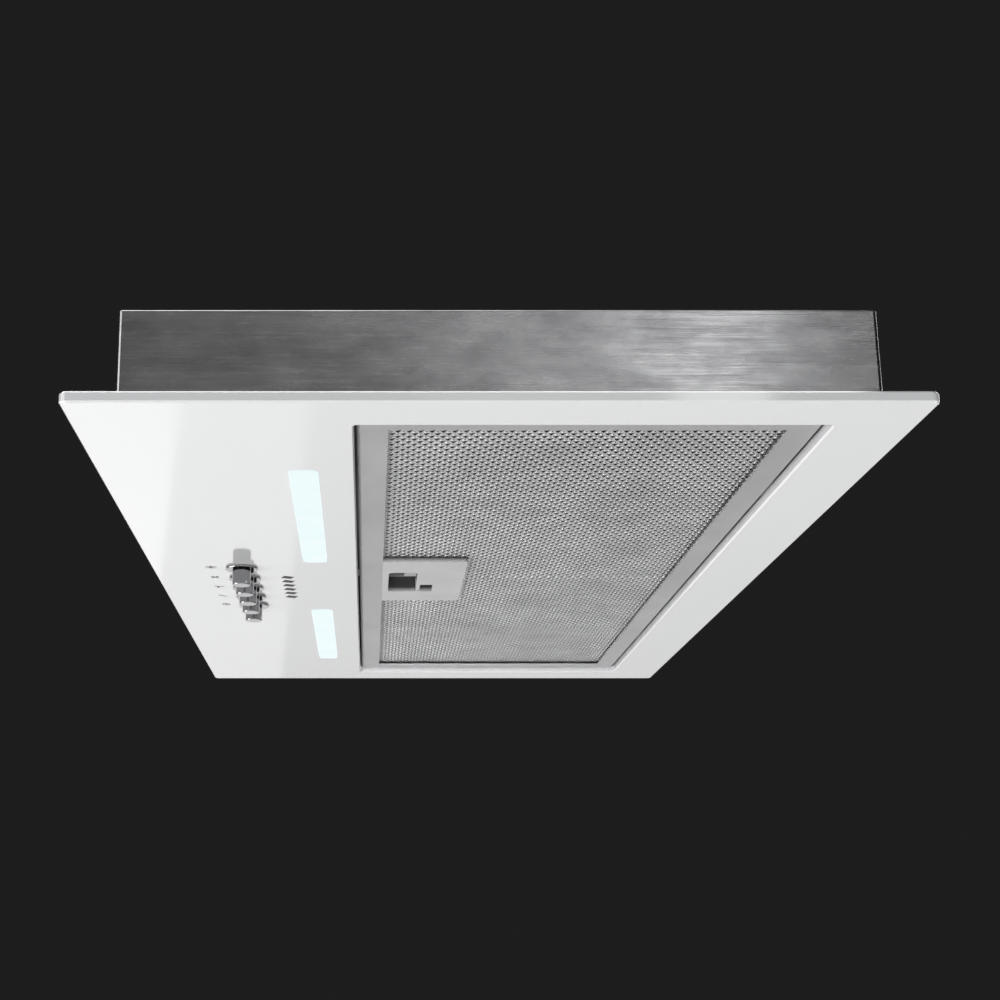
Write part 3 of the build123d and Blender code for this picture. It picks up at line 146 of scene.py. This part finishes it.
# %% [markdown]
# ## Finishes
# Each finish is a Principled shader. What is the same all over a surface is set on the shader's own
# socket. What varies, such as the grain of brushed steel, comes from noise read on Object coordinates,
# so the pattern stays with the part and has a real size.


# %% Helpers for finishes
def finish(name, colour, roughness, metallic=0.0, **sockets):
    """A material with one Principled shader and its constants."""
    material = bpy.data.materials.new(name)
    material.use_nodes = True
    shader = material.node_tree.nodes["Principled BSDF"]
    shader.inputs["Base Color"].default_value = (*colour, 1)
    shader.inputs["Roughness"].default_value = roughness
    shader.inputs["Metallic"].default_value = metallic
    for socket, value in sockets.items():
        shader.inputs[socket.replace("_", " ")].default_value = value
    return material


def node(material, kind, **values):
    """A new shader node, with values for its properties."""
    made = material.node_tree.nodes.new(kind)
    for key, value in values.items():
        setattr(made, key, value)
    return made


def link(material, out, into):
    material.node_tree.links.new(out, into)


def noise(material, size, stretch=(1, 1, 1), detail=3.0, rough=0.55):
    """Noise whose grain is about one size across, in metres; stretch makes it longer along an axis."""
    place = node(material, "ShaderNodeTexCoord")
    scale = node(material, "ShaderNodeMapping")
    scale.inputs["Scale"].default_value = [1 / (size * s) for s in stretch]
    link(material, place.outputs["Object"], scale.inputs["Vector"])
    grain = node(material, "ShaderNodeTexNoise")
    grain.inputs["Scale"].default_value = 1.0
    grain.inputs["Detail"].default_value = detail
    grain.inputs["Roughness"].default_value = rough
    link(material, scale.outputs["Vector"], grain.inputs["Vector"])
    return grain.outputs["Fac"]


def spread(material, value, low, high):
    """Maps the middle of a noise onto the range from low to high."""
    step = node(material, "ShaderNodeMapRange")
    step.inputs["From Min"].default_value = 0.3
    step.inputs["From Max"].default_value = 0.7
    step.inputs["To Min"].default_value = low
    step.inputs["To Max"].default_value = high
    link(material, value, step.inputs["Value"])
    return step.outputs["Result"]


def shader_of(material):
    return material.node_tree.nodes["Principled BSDF"]


def vary_roughness(material, value, low, high):
    link(material, spread(material, value, low, high), shader_of(material).inputs["Roughness"])


def vary_colour(material, value, dark, pale):
    """Blends two colours by a noise."""
    blend = node(material, "ShaderNodeMix", data_type="RGBA")
    link(material, spread(material, value, 0, 1), blend.inputs["Factor"])
    blend.inputs["A"].default_value = (*dark, 1)
    blend.inputs["B"].default_value = (*pale, 1)
    link(material, blend.outputs["Result"], shader_of(material).inputs["Base Color"])


def emboss(material, value, depth, strength=1.0):
    """Raises the surface by a noise, to a depth in metres."""
    bump = node(material, "ShaderNodeBump")
    bump.inputs["Distance"].default_value = depth
    bump.inputs["Strength"].default_value = strength
    link(material, value, bump.inputs["Height"])
    link(material, bump.outputs["Normal"], shader_of(material).inputs["Normal"])


# %% Pale floor
floor_paint = finish("floor_paint", (0.78, 0.78, 0.77), 0.6)
vary_roughness(floor_paint, noise(floor_paint, 0.05), 0.5, 0.7)
floor.data.materials.append(floor_paint)

# %% [markdown]
# ### Glass, painted white behind
# The underside is one sheet of clear glass with white enamel on its hidden face. It looks white all
# over, with a hard mirror gloss on top and a faint film of grease that dulls the gloss in patches.

# %% White glass
finishes = {}
white_glass = finish(
    "white_glass", (0.80, 0.805, 0.815), 0.06, IOR=1.52, Coat_Weight=1.0, Coat_Roughness=0.09
)
vary_roughness(white_glass, noise(white_glass, 0.06, detail=4), 0.03, 0.10)
emboss(white_glass, noise(white_glass, 0.12, detail=0), 0.0001, 0.15)
finishes["white_glass"] = white_glass

# %% [markdown]
# ### Brushed steel
# The body is folded from sheet that was brushed along its length. Scratches are long and thin, so the
# noise is stretched along X and Y and fine along Z. Cloudy patches of polish lie over the scratches.


# %% Brushed and satin metals
def add(material, first, second, share):
    """Adds a share of a second noise to a first."""
    total = node(material, "ShaderNodeMath", operation="MULTIPLY_ADD")
    total.inputs[1].default_value = share
    link(material, second, total.inputs[0])
    link(material, first, total.inputs[2])
    return total.outputs["Value"]


SCRATCH_DEPTH = 0.05  # share of a scratch's width
RIPPLE = 2.5  # how far the clouds dent the sheet, against the scratches


def brushed_metal(name, dark, pale, roughness, grain, cloud):
    """Metal with long level scratches, and clouds of more and less polish."""
    metal = finish(name, pale, roughness, 1.0)
    scratches = noise(metal, grain, (60, 60, 1), 4, 0.7)
    clouds = noise(metal, cloud, (2.2, 2.2, 1), 4, 0.6)
    vary_colour(metal, clouds, dark, pale)
    vary_roughness(metal, scratches, roughness - 0.06, roughness + 0.08)
    emboss(metal, add(metal, scratches, clouds, RIPPLE), grain * SCRATCH_DEPTH, 0.5)
    return metal


body_steel = brushed_metal("body_steel", (0.36, 0.36, 0.37), (0.58, 0.58, 0.59), 0.22, 0.0005, 0.010)
shader_of(body_steel).inputs["Anisotropic"].default_value = 0.5
finishes["body_steel"] = body_steel

# each row: name, dark colour, pale colour, roughness, size of the scratches, size of the clouds
for row in (
    ("carrier_steel", (0.45, 0.46, 0.47), (0.62, 0.63, 0.64), 0.42, 0.0007, 0.02),
    ("filter_aluminium", (0.76, 0.76, 0.77), (0.86, 0.86, 0.87), 0.48, 0.0004, 0.03),
    ("mesh_aluminium", (0.74, 0.74, 0.75), (0.90, 0.90, 0.91), 0.33, 0.0006, 0.010),
    ("spring_steel", (0.09, 0.09, 0.10), (0.16, 0.16, 0.17), 0.32, 0.0004, 0.01),
    ("zinc_hardware", (0.55, 0.55, 0.50), (0.66, 0.66, 0.64), 0.30, 0.0004, 0.004),
    ("motor_steel", (0.30, 0.31, 0.32), (0.42, 0.43, 0.44), 0.40, 0.0005, 0.015),
    ("bronze", (0.42, 0.29, 0.14), (0.60, 0.44, 0.24), 0.40, 0.0003, 0.003),
):
    finishes[row[0]] = brushed_metal(*row)
chrome = finish("chrome_trim", (0.46, 0.46, 0.47), 0.06, 1.0)
vary_roughness(chrome, noise(chrome, 0.002, detail=4), 0.03, 0.09)
finishes["chrome_trim"] = chrome
print("metals:", len(finishes) - 1)

# %% [markdown]
# ### Mouldings, rubber, copper and boards
# Moulded plastic has a fine spark-eroded grain and slow changes of gloss. Copper windings show as close
# turns of wire. A board has a green mask over faint copper tracks.


# %% Plastics and the small finishes
def moulded(name, colour, roughness, grain=0.0006, depth=0.00003, change=0.12):
    """Plastic with a fine moulded grain."""
    plastic = finish(name, colour, roughness)
    darker = [c * (1 - change) for c in colour]
    paler = [min(1, c * (1 + change)) for c in colour]
    vary_colour(plastic, noise(plastic, 0.03, detail=3), darker, paler)
    vary_roughness(plastic, noise(plastic, 0.008), roughness - 0.08, roughness + 0.08)
    emboss(plastic, noise(plastic, grain, detail=2), depth, 0.5)
    return plastic


LATCH_GREY = (0.56, 0.56, 0.57)
LATCH_ROUGHNESS = 0.38
SMALL_CHANGE = 0.04

finishes["latch_plastic"] = moulded("latch_plastic", LATCH_GREY, LATCH_ROUGHNESS, change=SMALL_CHANGE)
finishes["black_plastic"] = moulded("black_plastic", (0.022, 0.022, 0.023), 0.45)
finishes["white_plastic"] = moulded("white_plastic", (0.80, 0.80, 0.78), 0.42, change=SMALL_CHANGE)
finishes["grey_plastic"] = moulded("grey_plastic", (0.20, 0.21, 0.23), 0.48)
finishes["impeller_plastic"] = moulded("impeller_plastic", (0.06, 0.06, 0.065), 0.40)
finishes["flap_plastic"] = moulded("flap_plastic", (0.13, 0.13, 0.14), 0.45)
finishes["rubber_black"] = moulded("rubber_black", (0.018, 0.018, 0.018), 0.70, 0.001, 0.00005)
finishes["adhesive_foam"] = moulded("adhesive_foam", (0.05, 0.05, 0.05), 0.90, 0.0012, 0.0004)
finishes["led_board"] = moulded("led_board", (0.80, 0.80, 0.77), 0.35, 0.002, 0.00002, 0.05)

sleeve = finish("cable_sleeve", (0.05, 0.05, 0.055), 0.6)
emboss(sleeve, noise(sleeve, 0.0009, detail=1), 0.0004, 0.9)
vary_colour(sleeve, noise(sleeve, 0.0009, detail=1), (0.02, 0.02, 0.022), (0.10, 0.10, 0.11))
finishes["cable_sleeve"] = sleeve

copper = finish("copper", (0.72, 0.34, 0.16), 0.30, 1.0)
vary_colour(copper, noise(copper, 0.0009, (40, 40, 1), 3), (0.45, 0.18, 0.08), (0.80, 0.40, 0.20))
emboss(copper, noise(copper, 0.0009, (60, 60, 1), 1), 0.0003, 0.9)
finishes["copper"] = copper

board = finish("circuit_board", (0.02, 0.14, 0.05), 0.25)
vary_colour(board, noise(board, 0.003, (3, 1, 1), 0), (0.012, 0.10, 0.035), (0.03, 0.20, 0.08))
emboss(board, noise(board, 0.0015, (3, 1, 1), 0), 0.00004, 0.6)
finishes["circuit_board"] = board

# %% [markdown]
# The finger recess of the latch sees little light, so shade is painted into the housing's plastic: its
# colour darkens with depth. Object coordinates give the depth: the height above the plate's face drives
# the blend.

# %% Latch housing, with painted shade in its recess
RECESS_SHADE_START = 0.25 * MM
RECESS_SHADE_END = 2.2 * MM

housing_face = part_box("latch_housing")[0].z
recess_shaded_plastic = moulded("latch_housing_painted_shade", LATCH_GREY, LATCH_ROUGHNESS, change=SMALL_CHANGE)
place = node(recess_shaded_plastic, "ShaderNodeTexCoord")
axes = node(recess_shaded_plastic, "ShaderNodeSeparateXYZ")
link(recess_shaded_plastic, place.outputs["Object"], axes.inputs["Vector"])
depth = node(recess_shaded_plastic, "ShaderNodeMapRange")
depth.inputs["From Min"].default_value = housing_face + RECESS_SHADE_START
depth.inputs["From Max"].default_value = housing_face + RECESS_SHADE_END
link(recess_shaded_plastic, axes.outputs["Z"], depth.inputs["Value"])
# painted shade: the plastic's colour is mixed towards near black deeper in the recess
shade = node(recess_shaded_plastic, "ShaderNodeMix", data_type="RGBA")
unshaded_colour = shader_of(recess_shaded_plastic).inputs["Base Color"].links[0].from_socket
link(recess_shaded_plastic, unshaded_colour, shade.inputs["A"])
shade.inputs["B"].default_value = (0.05, 0.05, 0.052, 1)
link(recess_shaded_plastic, depth.outputs["Result"], shade.inputs["Factor"])
link(recess_shaded_plastic, shade.outputs["Result"], shader_of(recess_shaded_plastic).inputs["Base Color"])
print("recess darkens over", round((RECESS_SHADE_END - RECESS_SHADE_START) / MM, 2), "mm")

# %% [markdown]
# ### The lamps
# Each lamp is a frosted cover over a row of chips. It is lit, so the cover glows cool white. The glow
# falls off a little between the chips, which a slow noise along the lamp gives.

# %% Lamp covers and chips
lamp = finish("lamp_diffuser", (0.06, 0.07, 0.07), 0.5, Emission_Strength=0.86)
glow = node(lamp, "ShaderNodeMix", data_type="RGBA")
glow.inputs["A"].default_value = (0.84, 0.98, 1.0, 1)
glow.inputs["B"].default_value = (0.90, 1.0, 1.0, 1)
link(lamp, spread(lamp, noise(lamp, 0.012, detail=1), 0, 1), glow.inputs["Factor"])
link(lamp, glow.outputs["Result"], shader_of(lamp).inputs["Emission Color"])
emboss(lamp, noise(lamp, 0.0008, detail=2), 0.00003, 0.4)
finishes["lamp_diffuser"] = lamp

chip = finish("led_chip", (0.95, 0.85, 0.35), 0.15, Emission_Strength=1.5)
shader_of(chip).inputs["Emission Color"].default_value = (1.0, 0.96, 0.85, 1)
vary_colour(chip, noise(chip, 0.0008), (0.85, 0.70, 0.20), (0.98, 0.90, 0.50))
finishes["led_chip"] = chip

# %% [markdown]
# ## Dress the CAD parts
# The record says which finish each part takes. A part keeps its shape and gets the finish in its
# material slot.

# %% Give each CAD part its finish
slot_of = {part["node"]: part["material_slot"] for part in frame["record"]["subparts"]}
for name, part in frame["nodes"].items():
    part.data.materials.clear()
    part.data.materials.append(finishes[slot_of[name]])
# the latch housing takes the plastic with painted shade in its recess
frame["nodes"]["latch_housing"].data.materials[0] = recess_shaded_plastic
print("dressed", len(slot_of), "CAD parts in", len(set(slot_of.values())), "finishes")

# %% [markdown]
# ## The expanded metal of the filter
# Expanded metal is sheet that was slit and stretched: six-sided openings in staggered rows, joined by
# short bonds. The bonds stand proud and the strands lie tilted, which is what makes the sheet sparkle.
# One opening is modelled as a six-sided face. Its two end corners, which become bonds, are pushed down.
# Its middle is inset and removed, and the inner edge is tilted. The opening is then copied along both
# directions with Array modifiers and given its thickness with Solidify.

# %% One opening of the sheet
REPEAT_X = 5.90 * MM
REPEAT_Y = 4.08 * MM
BOND = 0.9 * MM  # length of the joint between two openings
STRAND = 0.82 * MM  # half the width of a strand
TILT = -0.24 * MM  # how far an opening's rear edge drops and its front edge rises; below zero, the reverse
CROWN = 0.46 * MM  # how far a bond stands proud
FOIL = 0.20 * MM
NEAR = 0.05 * MM  # slack when corners are picked by their place
MERGE = 0.02 * MM  # corners nearer than this become one


def edit(part):
    """Selects one object alone and opens it in edit mode."""
    nothing_selected()
    part.select_set(True)
    bpy.context.view_layer.objects.active = part
    bpy.ops.object.mode_set(mode="EDIT")


def pick(part, kind, wanted):
    """Selects the faces, edges or vertices that a test wants, in edit mode."""
    bpy.ops.mesh.select_mode(type=kind.upper())
    bpy.ops.mesh.select_all(action="DESELECT")
    mesh = bmesh.from_edit_mesh(part.data)
    group = {"face": mesh.faces, "edge": mesh.edges, "vert": mesh.verts}[kind]
    count = 0
    for item in group:
        if wanted(item):
            item.select_set(True)
            count += 1
    mesh.select_flush_mode()
    bmesh.update_edit_mesh(part.data)
    return count


def apply(part, name):
    """Applies one modifier of an object."""
    nothing_selected()
    part.select_set(True)
    bpy.context.view_layer.objects.active = part
    bpy.ops.object.modifier_apply(modifier=name)


def one_opening(tilt):
    """Six narrow faces round one opening, centred on the origin."""
    nothing_selected()
    bpy.ops.mesh.primitive_circle_add(vertices=6, radius=1, fill_type="NGON", location=(0, 0, 0))
    sheet = bpy.context.object
    ring = {
        0: ((REPEAT_X - BOND) / 2, 0),
        1: (BOND / 2, REPEAT_Y / 2),
        2: (-BOND / 2, REPEAT_Y / 2),
        3: (-(REPEAT_X - BOND) / 2, 0),
        4: (-BOND / 2, -REPEAT_Y / 2),
        5: (BOND / 2, -REPEAT_Y / 2),
    }

    def turn(corner):
        """The corner's angle from the X axis, from 0 up to a full turn."""
        return (Vector((corner.co.x, corner.co.y)).angle_signed(Vector((1, 0))) + 2 * pi) % (2 * pi)

    for index, corner in enumerate(sorted(sheet.data.vertices, key=turn)):
        corner.co = (*ring[index], 0)
    edit(sheet)
    pick(sheet, "vert", lambda v: abs(v.co.y) < NEAR)
    bpy.ops.transform.translate(value=(0, 0, -CROWN))
    pick(sheet, "face", lambda f: True)
    bpy.ops.mesh.inset(thickness=STRAND, use_even_offset=True)
    pick(sheet, "face", lambda f: len(f.verts) == 6)
    bpy.ops.mesh.delete(type="ONLY_FACE")
    inner = REPEAT_Y / 2 - STRAND + NEAR
    pick(sheet, "vert", lambda v: NEAR < v.co.y < inner)
    bpy.ops.transform.translate(value=(0, 0, -tilt))
    pick(sheet, "vert", lambda v: -NEAR > v.co.y > -inner)
    bpy.ops.transform.translate(value=(0, 0, tilt))
    bpy.ops.object.mode_set(mode="OBJECT")
    return sheet


def expanded_sheet(name, low, high, level, tilt, foil, shift=(0, 0)):
    """Expanded metal between two corners, level with one height."""
    sheet = one_opening(tilt)
    sheet.name = name
    edit(sheet)
    bpy.ops.mesh.select_all(action="SELECT")
    bpy.ops.transform.translate(value=(low.x - REPEAT_X + shift[0], low.y - REPEAT_Y + shift[1], level))
    bpy.ops.mesh.duplicate()
    bpy.ops.transform.translate(value=(REPEAT_X / 2, REPEAT_Y / 2, 0))
    bpy.ops.object.mode_set(mode="OBJECT")
    across = int((high.x - low.x) / REPEAT_X) + 3
    along = int((high.y - low.y) / REPEAT_Y) + 3
    for label, count, step in (("across", across, (REPEAT_X, 0, 0)), ("along", along, (0, REPEAT_Y, 0))):
        row = sheet.modifiers.new(label, "ARRAY")
        row.count = count
        row.use_relative_offset = False
        row.use_constant_offset = True
        row.constant_offset_displace = step
        apply(sheet, label)
    edit(sheet)
    bpy.ops.mesh.select_all(action="SELECT")
    bpy.ops.mesh.remove_doubles(threshold=MERGE)
    for place, normal in ((low, (-1, 0, 0)), (low, (0, -1, 0)), (high, (1, 0, 0)), (high, (0, 1, 0))):
        bpy.ops.mesh.select_all(action="SELECT")
        bpy.ops.mesh.bisect(plane_co=place, plane_no=normal, clear_outer=True)
    bpy.ops.object.mode_set(mode="OBJECT")
    wall = sheet.modifiers.new("foil", "SOLIDIFY")
    wall.thickness = foil
    wall.offset = 0
    apply(sheet, "foil")
    return sheet


# %% [markdown]
# The latch housing passes through the sheets, so each is cut away there. A whole sheet would be one very
# heavy mesh, so each is made in two halves that meet at the middle of the filter.


# %% Two halves of a sheet, cut away at the latch
LATCH_HALF = 22.5 * MM
LATCH_REAR = -5.5 * MM


def clear_latch(sheet):
    """Removes the sheet's faces where the latch housing passes through."""

    def at_latch(face):
        middle = face.calc_center_median()
        return abs(middle.x) < LATCH_HALF and middle.y < LATCH_REAR

    edit(sheet)
    gone = pick(sheet, "face", at_latch)
    bpy.ops.mesh.delete(type="FACE")
    bpy.ops.object.mode_set(mode="OBJECT")
    return gone


def on_filter(piece, material):
    """Gives a piece its metal and lets it move with the filter."""
    piece.data.materials.append(material)
    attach(piece, "filter")


def sheet_in_halves(name, low, high, level, tilt, material, shift=(0, 0)):
    """Both halves of a sheet of expanded metal, far and near."""
    halves = []
    for side, x0, x1 in (("far", low.x, 0.0), ("near", 0.0, high.x)):
        start, end = Vector((x0, low.y, 0)), Vector((x1, high.y, 0))
        half = expanded_sheet(f"{name}_{side}", start, end, level, tilt, FOIL, shift)
        gone = clear_latch(half)
        on_filter(half, material)
        halves.append(half)
        print(half.name, len(half.data.polygons), "faces,", gone, "removed at the latch")
    return halves


# %% [markdown]
# ### The front sheet
# It is trimmed a little behind the frame's border, so that its cut edges are hidden.

# %% Front sheet of the filter
BORDER = 11.2 * MM
HIDDEN_EDGE = 2.5 * MM
FRONT_RISE = 0.45 * MM

inset = Vector((BORDER - HIDDEN_EDGE, BORDER - HIDDEN_EDGE, 0))
frame_low, frame_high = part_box("filter_frame")
sheet_low, sheet_high = frame_low + inset, frame_high - inset
front_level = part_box("filter_front_mesh")[0].z + FRONT_RISE
front = sheet_in_halves(
    "front_sheet", sheet_low, sheet_high, front_level, TILT, finishes["mesh_aluminium"]
)
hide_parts("filter_front_mesh")

# %% [markdown]
# ### The layers behind the front sheet
# Behind the front sheet lie more sheets of foil. Only the first of them can be made out through the
# openings, so that one is modelled, shifted by part of a repeat, in a much darker copy of the aluminium:
# painted shade for its depth. The rest are a crumpled bed: a fine grid whose points are pushed up and
# down, with a dull foil finish painted near black as the shade deep inside the filter.

# %% Finishes of the inner foil, painted dark as shade
# painted shade: the bed's foil is near black because it lies in the shade deep inside the filter
deep_shade_foil = finish("deep_shade_foil", (0.20, 0.20, 0.205), 0.55, 1.0)
vary_colour(deep_shade_foil, noise(deep_shade_foil, 0.002, detail=3), (0.015, 0.015, 0.016), (0.06, 0.06, 0.062))
emboss(deep_shade_foil, noise(deep_shade_foil, 0.0015, detail=3), 0.0006, 0.8)
# painted shade: the same aluminium as the front sheet, darkened because it lies in shade behind it
second_foil_in_painted_shade = finish("second_foil_in_painted_shade", (0.40, 0.40, 0.41), 0.45, 1.0)
vary_colour(second_foil_in_painted_shade, noise(second_foil_in_painted_shade, 0.004), (0.07, 0.07, 0.072), (0.20, 0.20, 0.205))

# %% Second sheet
SECOND_GAP = 1.25 * MM
SECOND_SHIFT = (REPEAT_X * 0.31, REPEAT_Y * 0.22)

# the second sheet takes the darker foil, which is painted shade
sheet_in_halves(
    "second_sheet", sheet_low, sheet_high, front_level + SECOND_GAP, -TILT, second_foil_in_painted_shade, SECOND_SHIFT
)

# %% Foil bed
BED_GAP = 2.7 * MM
BED_FOIL = 0.3 * MM
CRUMPLE = 0.5 * MM
BED_ROWS = (150, 50)

nothing_selected()
bpy.ops.mesh.primitive_grid_add(x_subdivisions=BED_ROWS[0], y_subdivisions=BED_ROWS[1], size=1)
bed = bpy.context.object
bed.name = "foil_bed"
edit(bed)
bpy.ops.mesh.select_all(action="SELECT")
bpy.ops.transform.resize(value=(sheet_high.x - sheet_low.x, sheet_high.y - sheet_low.y, 1))
bed_middle = (sheet_low + sheet_high) / 2
bpy.ops.transform.translate(value=(bed_middle.x, bed_middle.y, front_level + BED_GAP))
bpy.ops.transform.vertex_random(offset=CRUMPLE, uniform=0.0, normal=1.0, seed=7)
bpy.ops.object.mode_set(mode="OBJECT")
clear_latch(bed)
wall = bed.modifiers.new("foil", "SOLIDIFY")
wall.thickness = BED_FOIL
apply(bed, "foil")
# the bed takes the foil painted near black as shade
on_filter(bed, deep_shade_foil)
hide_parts("filter_mesh_pack")
print("foil bed", len(bed.data.polygons), "faces")

# %% [markdown]
# ### The rear sheet
# The filter's back shows when it hangs open. It is closed by one more sheet of the same expanded metal,
# level with the middle of the space that the rear mesh takes up.

# %% Rear sheet of the filter
rear_low, rear_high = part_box("filter_rear_mesh")
rear_level = (rear_low.z + rear_high.z) / 2 + CROWN / 2
rear = sheet_in_halves("rear_sheet", rear_low, rear_high, rear_level, TILT, finishes["mesh_aluminium"])
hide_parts("filter_rear_mesh")

# %% [markdown]
# ## The printed signs
# Five small grey signs stand beside the buttons, and a plain mark of slanted bars lies between the
# buttons and the filter. Print is far thinner than a hair, so each sign is a flat outline that stands
# just proud of the glass: discs, rings and bars are joined into one mesh and given a film's thickness.

# %% Flat shapes for the signs
INK = 0.03 * MM
INK_PROUD = 0.6  # share of the film's thickness from the glass to the film's middle
RIM = 28  # corners of a disc

glass_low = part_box("glass_panel")[0]
print_ink = finish("print_ink", (0.05, 0.05, 0.055), 0.5)
vary_colour(print_ink, noise(print_ink, 0.0008), (0.03, 0.03, 0.033), (0.08, 0.08, 0.085))


def flat_disc(x, y, radius, hole=0.0):
    """A disc or ring in the plane z = 0, in its own object."""
    nothing_selected()
    bpy.ops.mesh.primitive_circle_add(vertices=RIM, radius=radius, fill_type="NGON", location=(0, 0, 0))
    shape = bpy.context.object
    edit(shape)
    if hole:
        pick(shape, "face", lambda f: True)
        bpy.ops.mesh.inset(thickness=radius - hole)
        pick(shape, "face", lambda f: len(f.verts) > 4)
        bpy.ops.mesh.delete(type="ONLY_FACE")
    bpy.ops.mesh.select_all(action="SELECT")
    bpy.ops.transform.translate(value=(x, y, 0))
    bpy.ops.object.mode_set(mode="OBJECT")
    return shape


def flat_bar(x, y, length, width, turn=0.0, out=0.0):
    """A bar that points away from a centre, turned about it and moved outwards."""
    nothing_selected()
    bpy.ops.mesh.primitive_plane_add(size=1, location=(0, 0, 0))
    shape = bpy.context.object
    edit(shape)
    bpy.ops.mesh.select_all(action="SELECT")
    bpy.ops.transform.resize(value=(length, width, 1))
    bpy.ops.transform.translate(value=(out + length / 2 if out else 0, 0, 0))
    bpy.ops.transform.rotate(value=radians(turn), orient_axis="Z", center_override=(0, 0, 0))
    bpy.ops.transform.translate(value=(x, y, 0))
    bpy.ops.object.mode_set(mode="OBJECT")
    return shape


def printed(name, shapes):
    """Joins flat shapes and sets them on the glass as a film of ink."""
    nothing_selected()
    for shape in shapes:
        shape.select_set(True)
    bpy.context.view_layer.objects.active = shapes[0]
    if len(shapes) > 1:
        bpy.ops.object.join()
    sign = bpy.context.object
    sign.name = name
    edit(sign)
    bpy.ops.mesh.select_all(action="SELECT")
    bpy.ops.mesh.normals_make_consistent(inside=False)
    bpy.ops.transform.translate(value=(0, 0, glass_low.z - INK * INK_PROUD))
    bpy.ops.object.mode_set(mode="OBJECT")
    film = sign.modifiers.new("film", "SOLIDIFY")
    film.thickness = INK
    film.offset = 0
    apply(sign, "film")
    sign.data.materials.append(print_ink)
    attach(sign, "hood")
    return sign


# %% [markdown]
# The first sign is a ring with a bar, for off. The next three are fans of two, three and four blades, one
# for each speed. The last is a lamp with eight rays. A sign's parts are shares of its radius.


# %% Signs beside the buttons
SIGN_OFFSET = 14.4 * MM
SIGN_FORWARD = 1.5 * MM
SIGN = 2.5 * MM
LINE = 0.62 * MM
RAYS = 8


def off_sign(x, y):
    return [flat_disc(x, y, SIGN * 0.85, SIGN * 0.85 - LINE), flat_bar(x, y, SIGN * 1.6, LINE)]


def fan_sign(x, y, blades):
    turns = [360 / blades * i + 45 for i in range(blades)]
    return [flat_disc(x, y, SIGN * 0.22)] + [
        flat_bar(x, y, SIGN * 0.75, LINE * 1.5, turn, SIGN * 0.25) for turn in turns
    ]


def lamp_sign(x, y):
    turns = [360 / RAYS * i for i in range(RAYS)]
    return [flat_disc(x, y, SIGN * 0.5)] + [
        flat_bar(x, y, SIGN * 0.4, LINE, turn, SIGN * 0.7) for turn in turns
    ]


button_names = [f"button_{number}" for number in range(1, 6)]
for number, name in enumerate(button_names, 1):
    button_low, button_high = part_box(name)
    middle = (button_low + button_high) / 2
    x, y = middle.x + SIGN_FORWARD, middle.y - SIGN_OFFSET
    if number == 1:
        shapes = off_sign(x, y)
    elif number == len(button_names):
        shapes = lamp_sign(x, y)
    else:
        shapes = fan_sign(x, y, number)
    printed(f"sign_{number}", shapes)
print("signs:", len(button_names))

# %% Plain mark between the buttons and the filter
MARK_Y = glass_low.y + 63 * MM
MARK_PITCH = 8.4 * MM
BARS = 6
BAR_LENGTH = 5.2 * MM
BAR_WIDTH = 4.6 * MM
BAR_SLANT = 66

places = [(i - (BARS - 1) / 2) * MARK_PITCH for i in range(BARS)]
printed("plain_mark", [flat_bar(x, MARK_Y, BAR_LENGTH, BAR_WIDTH, BAR_SLANT) for x in places])
print("one mark of", BARS, "bars")
